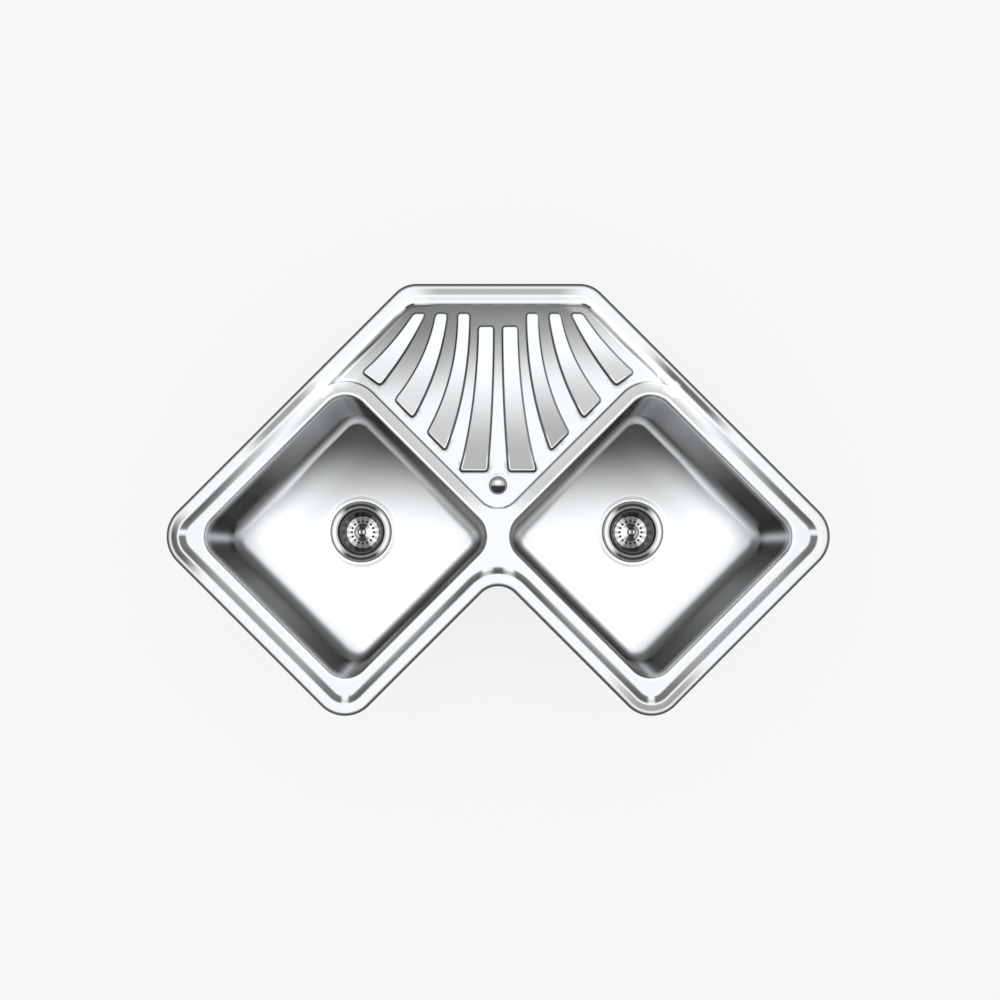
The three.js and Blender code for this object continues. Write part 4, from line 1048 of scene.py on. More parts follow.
def deck_painted_light(mesh, s, p, fingers):
    """Painted light and shade on the pressing: painted dark along the rim's edge and step and round
    the fingers, painted grey on the lands, and painted reflections fading over the drainer and along each
    finger."""
    points = points_of(mesh)
    flat, (x, y, _) = points[:, :2], points.T
    across = np.abs(x)
    inset = depth_inside(flat, rim_line(p))
    bowls = [bowl_ring(s, p, side, 0, s.bowl_radius, 1) for _, side in SIDES]
    from_bowl = np.minimum(*(-depth_inside(flat, ring) for ring in bowls))
    from_wall = from_room_wall(p, x, y)
    edge = recess_ring(s, p, 0)
    drainer = depth_inside(flat, edge)
    tone = rim_painted_light(s, p, x, y, inset)

    # painted grey reflection on the lands beside the bowls
    on_land = between(from_bowl, 6.5 * MM, 21.5 * MM, 1.5 * MM) * (drainer < 0.5 * MM)
    on_land *= eased((y - np.where(from_wall < 60 * MM, 90 * MM, p.land_tip_y)) / (60 * MM))
    tone = toned(tone, on_land * eased((inset - 33 * MM) / (4 * MM)), LAND_PAINTED_SHADE)

    # the drainer floor's painted reflection: bright at the front and painted dark towards the back,
    # shifted on each side and along the walls
    left, right, left_wall, right_wall = DRAINER_SHIFTS
    off_middle = eased(across / (140 * MM)) * eased((335 * MM - y) / (50 * MM))
    beside_wall = eased((64 * MM - from_wall) / (16 * MM))
    shift = np.where(x < 0, left, right) * off_middle
    shift = toned(shift, beside_wall, np.where(x < 0, left_wall, right_wall))
    floor_tone = np.interp(y - shift, DRAINER_PLACES, DRAINER_PAINTED_LIGHT)
    tone = toned(tone, eased(drainer / (3.5 * MM)), floor_tone)
    # painted light along the drainer's edge: a light line at its crease, painted shade beside the lands,
    # and lighter beside the room's walls
    near_wall = eased((WALL_REACH - from_wall) / WALL_FADE) * eased((325 * MM - y) / (20 * MM))
    beside_land = eased((32 * MM - from_bowl) / (3 * MM)) * (1 - near_wall)
    crease = between(drainer, 0.4 * MM, 2.6 * MM, 1 * MM)
    tone = toned(tone, crease * (1 - near_wall), 1.1 - 0.95 * beside_land)
    tone = toned(tone, near_wall * between(drainer, -0.5 * MM, 7 * MM, 1.5 * MM), 1.4 * floor_tone)
    # a painted highlight at the drainer's acute corner and painted shade in its back corners
    acute_x, acute_y = edge[np.argmax(edge[:, 0])]
    from_acute = np.hypot(across - acute_x, y - acute_y)
    tone = toned(tone, eased((14 * MM - from_acute) / (5 * MM)), ACUTE_CORNER_PAINTED_HIGHLIGHT)
    from_back_corner = np.hypot(across - BACK_CORNER[0], y - BACK_CORNER[1])
    at_back_corner = crease * eased((11 * MM - from_back_corner) / (4 * MM))
    tone = toned(tone, at_back_corner, BACK_CORNER_PAINTED_SHADE)

    # each finger: a painted highlight on its top fading to painted shade at its foot, a painted highlight
    # at its end, and a painted shade line round it, lighter on its right-hand side
    for line, foot_tone in zip(fingers, FINGER_FOOT_PAINTED_SHADES):
        low, high = line.min(axis=0), line.max(axis=0)
        near = ((flat > low - 4 * MM) & (flat < high + 4 * MM)).all(axis=1)
        depth = depth_inside(flat[near], line)
        share = (high[1] - y[near]) / (high[1] - low[1])
        top_tone = toned(FINGER_TOP_PAINTED_LIGHT, eased((share - 0.3) / 0.6), foot_tone)
        bright_end = between(depth, 0.8 * MM, 2 * MM, 0.8 * MM) * eased((share - 0.86) / 0.06)
        top_tone = toned(top_tone, bright_end, FINGER_END_PAINTED_HIGHLIGHT)
        made = toned(tone[near], eased(depth / (1 * MM)), top_tone)
        depth_to_right = depth_inside(flat[near] + (2 * MM, 0), line)
        right_side = (depth_to_right < depth - 1 * MM) & (x[near] > 12 * MM) & (share < 0.93)
        line_tone = np.where(right_side, FINGER_RIGHT_PAINTED_SHADE, FINGER_LINE_PAINTED_SHADE)
        outer_edge = -(2.2 + 0.6 * eased((share - 0.9) / 0.05)) * MM
        tone[near] = toned(made, between(depth, outer_edge, 0.2 * MM, 0.8 * MM), line_tone)
    # painted highlight along the bowls' lips on their outer halves, and painted shade at the lip edge on
    # the halves towards the middle
    lip_tone = toned(0.2 + eased(from_bowl / (4 * MM)), past_middle(across - p.bowl_x), 1.2)
    tone = toned(tone, eased((6 * MM - from_bowl) / (1 * MM)), lip_tone)
    store_painted_light(mesh, tone)


class SINK_OT_deck(bpy.types.Operator):
    """Makes the deck pressing with its rim, drainer, fingers and bowl collars"""

    bl_idname = "sink.deck"
    bl_label = "Deck pressing"

    def execute(self, context):
        s, p = sizes(), places()
        mesh, fingers = deck_mesh(s, p)
        deck_painted_light(mesh, s, p, fingers)
        pressed(mesh, "brushed_stainless_deck", "deck")
        return {"FINISHED"}


# ------------------------------------------------------------------ bowls


BOWL_DISH = 0.010
WASTE_DIP = 8 * MM


# millimetres from the floor's edge, and outside the waste's recess, where the floor has a line of
# points
FLOOR_CREASES = (1.5, 3, 5, 7.5, 10, 13)
RECESS_RINGS = (60, 40, 25, 14, 10, 8, 6.5, 5, 4, 3, 2, 1, 0, -1, -2, -3, -4)


def bowl_mesh(s, p, name, side):
    waste = middle(f"{name}_waste_flange")
    centre = np.array([waste.x, waste.y])

    def from_recess(points):
        return np.linalg.norm(points - centre, axis=1) - s.waste_recess

    def dished(points, z):
        """The floor falls slightly to the waste; the walls stay as they are."""
        share = eased(1 - (z - p.floor_z) / s.bowl_fillet)
        return z + BOWL_DISH * np.maximum(from_recess(points), 0) * share

    def floor_height(points):
        drop = eased((WASTE_DIP - from_recess(points)) / (WASTE_DIP + s.waste_drop))
        return dished(points, p.floor_z) - s.waste_drop * drop

    # height, inset and how far the plan radius has gone from the mouth's to the floor's
    stations = [
        (p.collar_bottom - share * (p.collar_bottom - p.floor_z - s.bowl_fillet),
         s.bowl_draft * share, 0.4 * share)
        for share in (0, 0.08, 0.2, 0.4, 0.6, 0.8, 0.92, 1)
    ] + [
        (p.floor_z + rise, s.bowl_draft + inset, 1 - 0.6 * rise / s.bowl_fillet)
        for inset, rise in quarter_round(s.bowl_fillet, (12, 24, 36, 48, 60, 70, 80, 90))
    ]
    rings = []
    for z, inset, share in stations:
        radius = s.bowl_radius + (s.bowl_floor_radius - s.bowl_radius) * share
        ring = bowl_ring(s, p, side, inset, radius)
        rings.append(at_height(ring, dished(ring, z)))
    shell = Shell().band(rings)
    floor_edge = rings[-1][:, :2]
    foot = s.bowl_draft + s.bowl_fillet
    creases = [
        bowl_ring(s, p, side, foot + inset * MM, s.bowl_floor_radius - inset * MM)
        for inset in FLOOR_CREASES
    ] + [
        circle(centre, s.waste_recess + offset * MM, 128)
        for offset in RECESS_RINGS
        if s.waste_recess + offset * MM < s.bowl_side / 2 - foot - 16 * MM
    ]
    grid = grid_inside(floor_edge, 12 * MM, 19 * MM)
    grid = grid[from_recess(grid) > 16 * MM]
    shell.sheet(floor_edge, [circle(centre, s.waste_hole, 96)], creases, floor_height, grid)
    return mesh_of(f"{name}_bowl_shell", shell)


# painted highlights on the lip and down the corners, the floor's painted shade at the back, and where
# that painted fade runs
BOWL_LIP_PAINTED_HIGHLIGHT, CORNER_STREAK_PAINTED_HIGHLIGHT = 1.3, 1.1
BOWL_FLOOR_PAINTED_SHADE = 0.07
BOWL_FADE_FROM, BOWL_FADE_OVER = 0.13, 0.19
# each wall's place along its length in millimetres, and its painted light and shade there: by the
# room's wall from the back corner, outer front from the tip, by the drainer from the inner corner,
# inner front from the front corner
WALL_PAINTED_LIGHT = (
    ((-160, -100, -50, 0, 40, 80, 120), (1.42, 1.4, 0.9, 0.42, 0.12, 0.03, 0.05)),
    ((-150, -100, -50, 0, 50, 80, 140), (0.1, 0.16, 0.38, 0.36, 0.24, 0.14, 0.08)),
    ((-150, -80, -40, 0, 40, 80, 150), (0.6, 0.52, 0.36, 0.24, 0.17, 0.14, 0.12)),
    ((-150, -80, -40, 0, 40, 80, 150), (0.5, 0.4, 0.18, 0.03, 0.08, 0.25, 0.3)),
)
# painted light and shade on the rounded foot of each of those walls, from the wall to the floor
FOOT_PLACES = np.array([-16, -13, -10.7, -8, -5.5, -2.8, 0, 3, 9]) * MM
FOOT_PAINTED_LIGHT = (
    (0.56, 0.76, 0.87, 1.0, 1.15, 1.3, 1.4, 1.4, 1.2),
    (0.4, 0.42, 0.38, 0.34, 0.36, 0.5, 0.85, 1.25, 1.42),
    (0.68, 0.8, 0.9, 0.96, 0.96, 0.73, 0.54, 0.5, 0.47),
    (0.16, 0.2, 0.23, 0.3, 0.44, 0.73, 1.15, 1.42, 1.2),
)


def by_wall(x, y, values):
    """Blends a value for each of a bowl's four walls over the corners between them."""
    outer, back = past_middle(x), past_middle(y)
    room_side, outer_front, drainer_side, inner_front = values
    outer_part = back * room_side + (1 - back) * outer_front
    return outer * outer_part + (1 - outer) * (back * drainer_side + (1 - back) * inner_front)


def bowl_painted_light(mesh, s, p, side):
    """Painted light and shade of a bowl: walls painted dark, and rougher where drawn, with a painted
    light streak in its corners, painted highlights at the lip and the fillet, and painted shade on the
    floor towards the back."""
    points = points_of(mesh)
    x, y = side * points[:, 0] - p.bowl_x, points[:, 1] - p.bowl_y
    below_lip = p.collar_bottom - points[:, 2]
    floor_line = bowl_ring(s, p, side, s.bowl_draft + s.bowl_fillet, s.bowl_floor_radius, 1)
    in_floor = depth_inside(points[:, :2], floor_line)
    reach = s.bowl_side * math.sqrt(0.5) - s.bowl_radius * (math.sqrt(2) - 1)
    along, across = (x - y) / math.sqrt(2), (x + y) / math.sqrt(2)
    # painted light and shade along each wall
    wall = by_wall(x, y, [
        np.interp(place, np.array(stations) * MM, tones)
        for place, (stations, tones) in zip((along, -across, across, -along), WALL_PAINTED_LIGHT)
    ])
    # painted shade at the top of the walls on the half towards the middle, fading out 90 mm down
    wall *= np.where(x < 0, 0.6 + 0.4 * eased(below_lip / (90 * MM)), 1)
    # a painted light streak down three corners
    for corner_x, corner_y in ((0, 1), (1, 0), (0, -1)):
        off = x * corner_y - y * corner_x + 5 * MM * abs(corner_y)
        towards = (x * corner_x + y * corner_y) > 0.5 * reach
        wall = toned(wall, np.exp(-((off / (8 * MM)) ** 2)) * towards, CORNER_STREAK_PAINTED_HIGHLIGHT)
    # the floor's painted shade towards the back, lighter towards the far sides and in a painted light
    # ring round the waste's seat
    faded = eased((BOWL_FADE_FROM - points[:, 1]) / BOWL_FADE_OVER)
    floor = BOWL_FLOOR_PAINTED_SHADE + (1 - BOWL_FLOOR_PAINTED_SHADE) * faded
    waste = middle("right_waste_flange")
    from_waste = np.hypot(side * points[:, 0] - waste.x, points[:, 1] - waste.y)
    far_sides = [0.3 * eased((place - 80 * MM) / (50 * MM)) for place in (across, along)]
    floor *= 1.2 + far_sides[0] + far_sides[1]
    seat = (s.waste_recess - 3 * MM, s.waste_recess + 6 * MM)
    floor *= 1 + 0.35 * between(from_waste, *seat, 2 * MM)
    # painted light on each wall's rounded foot, blended into the floor
    foot = by_wall(x, y, [np.interp(in_floor, FOOT_PLACES, tones) for tones in FOOT_PAINTED_LIGHT])
    tone = toned(wall, eased((in_floor + 17.5 * MM) / (2 * MM)), foot)
    dark = np.clip((1.1 - floor) / 0.8, 0, 1)
    tone = toned(tone, eased((in_floor + 5 * MM * dark) / ((10 - 5 * dark) * MM)), floor)
    # a painted highlight along the lip on the outer half
    lip = eased((26 * MM - below_lip) / (26 * MM)) ** 2
    store_painted_light(mesh, toned(tone, past_middle(x) * lip, BOWL_LIP_PAINTED_HIGHLIGHT))
    store(mesh, "drawn", eased((4 * MM - in_floor) / (10 * MM)))


class SINK_OT_bowls(bpy.types.Operator):
    """Makes the two drawn bowls"""

    bl_idname = "sink.bowls"
    bl_label = "Bowls"

    def execute(self, context):
        s, p = sizes(), places()
        for name, side in SIDES:
            mesh = bowl_mesh(s, p, name, side)
            bowl_painted_light(mesh, s, p, side)
            pressed(mesh, "brushed_stainless_bowl", f"{name}_bowl")
        return {"FINISHED"}


# ------------------------------------------------------------------ turned and moulded forms


SIDES_ROUND = 96


def turned_shell(profile, sides=SIDES_ROUND):
    """A form turned round the Z axis from (radius, height, fillet) corners in millimetres."""
    angles = 2 * np.pi * np.arange(sides) / sides
    ring = np.stack([np.cos(angles), np.sin(angles), np.zeros(sides)], axis=1)
    line = filleted(profile) * MM
    return Shell().band([ring * (radius, radius, 0) + (0, 0, height) for radius, height in line])


def washer(inner, outer, low, high, rounding=0.5, sides=SIDES_ROUND):
    """A flat ring with rounded edges, sizes in millimetres."""
    half = (inner + outer) / 2
    corners = [
        (half, low), (outer, low, rounding), (outer, high, rounding),
        (inner, high, rounding), (inner, low, rounding), (half, low),
    ]
    return turned_shell(corners, sides)


def block(low, high):
    """A box between two corners in millimetres."""
    (x0, y0, z0), (x1, y1, z1) = np.array(low) * MM, np.array(high) * MM
    return Shell().add(
        [(x0, y0, z0), (x1, y0, z0), (x1, y1, z0), (x0, y1, z0),
         (x0, y0, z1), (x1, y0, z1), (x1, y1, z1), (x0, y1, z1)],
        [(3, 2, 1, 0), (4, 5, 6, 7), (0, 1, 5, 4), (1, 2, 6, 5), (2, 3, 7, 6), (3, 0, 4, 7)],
    )


def solid_between(first, last):
    """A closed solid between two equal flat ends."""
    return Shell().band([first, last]).cap(first, flip=True).cap(last)


def bar(section, half_width):
    """A bar across Y with one section of (X, Z) corners, in millimetres."""
    ends = [np.insert(np.array(section), 1, y, axis=1) * MM for y in (half_width, -half_width)]
    return solid_between(*ends)


def slab(outer, hole, low, high, rounding):
    """A flat plate with one hole and rounded edges, sizes in metres."""
    shell = Shell()
    edge = [
        (z + up * along, inset)
        for z, up, angles in ((high, -1, (90, 60, 30, 0)), (low, 1, (0, 30, 60, 90)))
        for along, inset in quarter_round(rounding, angles)
    ]
    for line, into in ((outer, 1), (hole, -1)):
        rings = [at_height(moved_in(line, into * inset), z) for z, inset in edge]
        shell.band(rings[::into])
    flat = moved_in(outer, rounding), [moved_in(hole, -rounding)], []
    for z in (high, low):
        shell.sheet(*flat, lambda points: z)
    return shell


def merged(*shells):
    whole = Shell()
    for shell in shells:
        whole.add(shell.points, shell.faces)
    return whole


def shifted(shell, matrix):
    shell.points = [tuple(matrix @ Vector(point)) for point in shell.points]
    return shell


def bevelled(made, width):
    """Rounds the sharp edges of a small piece."""
    edge = made.modifiers.new("bevel", "BEVEL")
    edge.width = width
    edge.segments = 2
    edge.limit_method = "ANGLE"
    edge.angle_limit = SHARP_ANGLE
    plain(made)
    smooth(made.data)
    return made


# ------------------------------------------------------------------ wastes


FLANGE = [
    (0, -41), (34, -41, 1.5), (38, -38, 1.5), (41, -7.4, 0.8), (43, -6.4, 0.6), (44.5, -0.4, 0.3),
    (57, -0.4, 0.3), (57, 0.5, 0.5), (55.6, 1.4, 0.8), (54, 1.2, 0.8), (52.8, 1.1), (51.6, 0.95),
    (50, 0.75), (47.4, 0.43), (46.4, 0.3, 0.2), (45.9, -0.3, 0.2), (42.8, -1.1, 0.5), (42, -5.4, 0.3),
    (40, -5.4, 0.6), (37.5, -37, 2.5), (33.5, -40, 2), (0, -40),
]
STRAINER = [
    (0, -25.1), (7, -25.1, 1), (16, -29.1, 1), (32, -29.1, 2), (37, -8.1, 0.8), (39, -5.1, 0.5),
    (41.4, -5.1, 0.4), (41.4, -3.5, 0.8), (40, -2.7, 0.9), (36.9, -4.1, 0.8), (31, -28.1, 2.5),
    (17, -28.1, 1.6), (7.4, -24.1, 1.2), (0, -24.1),
]
KNOB = [
    (0, -35.1), (4.5, -35.1, 0.4), (4.5, -33.6, 0.2), (3, -33.6, 0.1), (3, -23.8, 0.2),
    (5, -23.8, 0.3), (4, -18.8, 1.6), (8, -13.9, 0.8), (8, -11.8, 0.8), (5.5, -10.2, 1.4), (0, -9.6),
]
STOPPER = [
    (8, -33.3), (15.4, -33.3, 0.5), (16.5, -32.2, 0.5), (16.2, -30.7, 0.4), (3.4, -30.7, 0.2),
    (3.4, -33.3, 0.2), (8, -33.3),
]
CENTRE_SCREW = [
    (0, -56), (2.4, -56, 0.3), (3, -55, 0.2), (3, -39.7), (5, -39.7, 0.2), (5, -38.1, 0.4),
    (3.6, -37.1, 0.6), (0, -37.1),
]
WASTE_BODY = [
    (21, -112), (22.2, -112, 0.4), (22.2, -81), (23, -80.4), (23, -66, 1.5), (47, -54, 3),
    (47, -11.6, 1.2), (55, -9.8, 0.6), (56, -9.6, 0.4), (56, -6.6, 0.4), (44, -6.6, 0.6),
    (44, -54, 3), (20, -66, 1.5), (20, -112, 0.3), (21, -112),
]
SPIGOT = [
    (11.5, 43), (12.5, 43, 0.3), (12.5, 76, 0.6), (10.5, 76, 0.6), (10.5, 43, 0.3), (11.5, 43),
]
TAIL_RIDGE = [(22, -0.9), (23, -0.2), (23, 0.2), (22, 0.9), (21.6, 0), (22, -0.9)]
GUSSET = [(46.4, -12), (54, -10.2), (47.2, -25)]
INLET_DEPTH = 32 * MM


def painted_bow_tie(x, y, start=0.42, over=0.36):
    """A painted bow-tie highlight: 1 to the left and right of a turned piece's middle and 0 to its
    front and back, as light from the sides would fall on lathe grooves."""
    return eased((np.abs(x) / np.maximum(np.hypot(x, y), 0.1 * MM) - start) / over)


def flange_painted_light(x, y, radius):
    """Painted bow-tie highlight on the flange, a painted grey edge, a painted light line at its throat
    and a cup painted dark as shade.
    """
    tone = 0.05 + 1.0 * painted_bow_tie(x, y, 0.5, 0.36)
    tone = toned(tone, eased((radius - 52 * MM) / (1.6 * MM)), 0.26 + 0.08 * painted_bow_tie(x, y))
    tone = toned(tone, between(radius, 45.2 * MM, 46.6 * MM, 0.6 * MM), 0.8)
    return toned(tone, eased((45 * MM - radius) / (1.2 * MM)), 0.08)


def strainer_painted_light(x, y, radius):
    """Painted light bow-tie on the perforated floor, with a painted darker streak out to each hole, and a
    wall painted dark as shade.
    """
    count = sizes().strainer_holes
    streak = 0.5 + 0.5 * np.cos(count * np.arctan2(y, x))
    tone = 0.25 + 0.8 * painted_bow_tie(x, y, 0.3, 0.5)
    tone *= 1 - 0.4 * streak * eased((radius - 17.5 * MM) / (3 * MM))
    tone = toned(tone, eased((18 * MM - radius) / (2 * MM)), 0.1 + 1.5 * painted_bow_tie(x, y, 0.4, 0.4))
    return toned(tone, eased((radius - 30.5 * MM) / (1.5 * MM)), 0.14)


# painted bow-tie highlight on the knob, dark to its front and back
def knob_painted_light(x, y, radius):
    return 0.12 + 0.95 * painted_bow_tie(x, y, 0.5, 0.4)


def cap_painted_light(x, y, radius):
    """The dome: a painted white highlight towards the back and a painted dark crescent of reflection
    towards the front.
    """
    tone = 0.42 + 0.7 * np.exp(-((x / (6 * MM)) ** 2 + ((y - 4 * MM) / (4.5 * MM)) ** 2))
    crescent = eased((0.5 * MM - y) / (3 * MM)) * eased((14.5 * MM - radius) / (3 * MM))
    return toned(tone, crescent, 0.04)


def paint_light_on_piece(made, rule):
    """Paints light and shade onto a turned piece while its axis is still at the origin."""
    points = points_of(made.data)
    store_painted_light(made.data, rule(points[:, 0], points[:, 1], np.hypot(points[:, 0], points[:, 1])))


def waste_matrix(name):
    centre = middle(f"{name}_waste_flange")
    return Matrix.Translation((centre.x, centre.y, places().floor_z))


def inlet_angle(side):
    """Direction in plan of a waste's side inlet, towards the overflow outlet."""
    centre = middle("left_waste_flange")
    angle = math.atan2(places().outlet[1] - centre.y, -centre.x)
    return angle if side < 0 else math.pi - angle


def inlet_matrix(side, reach=0):
    """From a form round Z to its place on a waste's side inlet, reach millimetres out."""
    return (
        Matrix.Translation((0, 0, -INLET_DEPTH)) @ Matrix.Rotation(inlet_angle(side), 4, "Z")
        @ Matrix.Rotation(math.pi / 2, 4, "Y") @ Matrix.Translation((0, 0, reach * MM))
    )


def waste_body_shell(side):
    """Housing with a spider for the centre screw and a beaded spigot for its side inlet."""
    arms = [
        shifted(
            block((7.5, -1.5, -53.3), (44.6, 1.5, -45.3)),
            Matrix.Rotation(inlet_angle(side) + math.pi * (1 + 2 * i) / 3, 4, "Z"),
        )
        for i in range(3)
    ]
    inlet = [turned_shell(SPIGOT, 48), washer(12.3, 13.6, 56, 58, 0.6, 48)]
    inlet = [shifted(shell, inlet_matrix(side)) for shell in inlet]
    return merged(turned_shell(WASTE_BODY), washer(3.3, 8, -55.3, -41.3, 0.6, 32), *arms, *inlet)


class SINK_OT_wastes(bpy.types.Operator):
    """Makes the basket wastes: flange, strainer, knob, stopper, gaskets, screw and housing"""

    bl_idname = "sink.wastes"
    bl_label = "Wastes"

    def execute(self, context):
        for name, side in SIDES:
            place, lifted = waste_matrix(name), f"{name}_strainer_set"
            flange = run_tree(
                piece(f"{name}_flanged_cup", turned_shell(FLANGE, 128)), "perforation", Holes=6,
                Circle_Radius=11 * MM, Hole_Radius=4.2 * MM, Middle_Radius=3.3 * MM,
                Height=-40.5 * MM, Depth=10 * MM,
            )
            basket = run_tree(
                piece(f"{name}_basket", turned_shell(STRAINER, 128)), "perforation",
                Holes=sizes().strainer_holes, Circle_Radius=20.8 * MM, Hole_Radius=2.3 * MM,
                Middle_Radius=3.3 * MM, Height=-24 * MM, Depth=14 * MM,
            )
            knob = piece(f"{name}_knob", turned_shell(KNOB, 64))
            # each turned piece gets its painted light and shade before it is moved to its place
            for made, part, rule, body in (
                (flange, "waste_flange", flange_painted_light, ROOT),
                (basket, "strainer", strainer_painted_light, lifted),
                (knob, "strainer_knob", knob_painted_light, lifted),
            ):
                turning_map(made.data)
                paint_light_on_piece(made, rule)
                finish(made, "polished_stainless_turned", [f"{name}_{part}"], body, place)
            disc = piece(f"{name}_rubber_disc", turned_shell(STOPPER))
            rings = [
                piece(f"{name}_{part}_washer", washer(46.5, 55, top - 2, top, 0.6))
                for part, top in (("flange", -0.7), ("body", -4.3))
            ]
            screw = piece(f"{name}_centre_bolt", turned_shell(CENTRE_SCREW, 48))
            cutter = piece("slot_cutter", block((-6, -0.6, -38.4), (6, 0.6, -36)))
            slot = screw.modifiers.new("slot", "BOOLEAN")
            slot.object = cutter
            slot.operation = "DIFFERENCE"
            plain(screw)
            bpy.data.objects.remove(cutter)
            screw.data.set_sharp_from_angle(angle=SHARP_ANGLE)
            housing = piece(f"{name}_housing", waste_body_shell(side))
            run_tree(housing, "copies_round", bar(GUSSET, 1), Count=12, Radius=0.0)
            ridge = turned_shell(TAIL_RIDGE, 64)
            run_tree(housing, "copies_up", ridge, Count=11, Start=-110.2 * MM, Pitch=2.7 * MM)
            for made, part, material, body in (
                (disc, "stopper", "black_epdm_rubber", lifted),
                (rings[0], "flange_gasket", "black_epdm_rubber", ROOT),
                (rings[1], "body_gasket", "black_epdm_rubber", ROOT),
                (screw, "centre_screw", "zinc_plated_steel", ROOT),
                (housing, "waste_body", "black_polypropylene", ROOT),
            ):
                finish(made, material, [f"{name}_{part}"], body, place)
        return {"FINISHED"}


# ------------------------------------------------------------------ overflow


def overflow_levels():
    """Heights in millimetres of the overflow's seats, from the drainer floor down."""
    s = sizes()
    h = SimpleNamespace()
    h.seat = (s.deck_height - s.floor_front - s.outlet_drop) / MM
    h.gasket_top = h.seat - 1.3
    h.body_top = h.gasket_top - 2.3
    h.funnel = h.body_top - 24
    h.tail = h.funnel - 26
    h.boss = h.body_top - 8
    return h


def cap_shell(h):
    top, skirt = h.seat + 8, h.seat + 2.2
    dome = [
        (15.5 * math.cos(a), skirt + 0.7 + (top - skirt - 0.7) * math.sin(a))
        for a in np.radians(np.linspace(0, 90, 22))
    ]
    inside = [(14.4, skirt, 0.2), (12.8, top - 3.2, 2), (8.5, top - 1.8, 0.5), (2.9, top - 1.8, 0.2)]
    stem = [(2.9, h.boss - 6, 0.3), (2.3, h.boss - 7, 0.2), (0, h.boss - 7)]
    dome[-1] = (0, top)
    return turned_shell(dome[::-1] + [(15.5, skirt, 0.2)] + inside + stem, 96)


def overflow_body_shell(h):
    body = turned_shell([
        (11.5, h.tail), (12.5, h.tail, 0.4), (12.5, h.funnel - 6, 1.5), (16, h.funnel, 2),
        (16, h.body_top - 3, 0.8), (20, h.body_top - 3, 0.4), (20, h.body_top, 0.4),
        (13.5, h.body_top, 0.5), (13.5, h.funnel + 1, 2), (10.5, h.funnel - 5, 1.5),
        (10.5, h.tail, 0.4), (11.5, h.tail),
    ], 64)
    boss = washer(3.2, 5.9, h.boss - 10, h.boss, 0.4, 32)
    arm = (5.6, -1.2, h.boss - 8), (13.8, 1.2, h.boss - 2)
    arms = [shifted(block(*arm), Matrix.Rotation(i * math.pi / 2, 4, "Z")) for i in range(4)]
    return merged(body, boss, *arms)


PIPE_BEND = 46 * MM
PIPE_OUTER, PIPE_BORE = 12.5 * MM, 10.5 * MM


def pipe_stations():
    """From the outlet straight down, round one bend and level to the left waste, in metres."""
    p, h = places(), overflow_levels()
    waste = middle("left_waste_flange")
    target = Vector((waste.x, waste.y - p.outlet[1], 0))
    level = target.normalized()
    side = np.array((-level.y, level.x, 0))
    level = np.array(level)
    down = np.array((0, 0, -1.0))
    bend = PIPE_BEND
    level_z = p.floor_z - INLET_DEPTH
    at_outlet = np.array((0, p.outlet[1], 0))
    stations = [(at_outlet + (0, 0, (h.tail - 0.3) * MM), down, side)]
    for angle in np.linspace(0, math.pi / 2, 25):
        at = at_outlet + level * bend * (1 - math.cos(angle))
        at[2] = level_z + bend * (1 - math.sin(angle))
        stations.append((at, down * math.cos(angle) + level * math.sin(angle), side))
    end = at_outlet + level * (target.length - 76.3 * MM)
    end[2] = level_z
    stations.append((end, level, side))
    return stations


def tube_shell(stations, outer, inner, sides=40):
    """A pipe with its bore and square ends along stations, radii in metres."""

    def ring(station, radius):
        at, along, side = station
        across = np.cross(along, side)
        angles = 2 * np.pi * np.arange(sides)[:, None] / sides
        return at + radius * (np.cos(angles) * side + np.sin(angles) * across)

    rings = [ring(station, outer) for station in stations]
    rings += [ring(station, inner) for station in reversed(stations)]
    return Shell().band([*rings, rings[0]])


OPEN_NUT = [(14, -8), (16.2, -8, 0.8), (16.2, 8, 0.8), (12.8, 8, 0.4), (12.8, -8, 0.4), (14, -8)]
BLIND_NUT = [
    (0, 5.5), (12.8, 5.5, 0.4), (12.8, -8, 0.4), (16.2, -8, 0.8), (16.2, 8, 1.2), (0, 8),
]


def ribbed_nut(name, corners):
    """A compression nut round its own axis, from -8 to 8 mm."""
    rib = turned_shell([(0, -7), (0.9, -6.6, 0.3), (0.9, 6.6, 0.3), (0, 7)], 12)
    rib = shifted(rib, Matrix.Translation((16.3 * MM, 0, 0)))
    return run_tree(piece(name, turned_shell(corners, 64)), "copies_round", rib, Count=18, Radius=0.0)


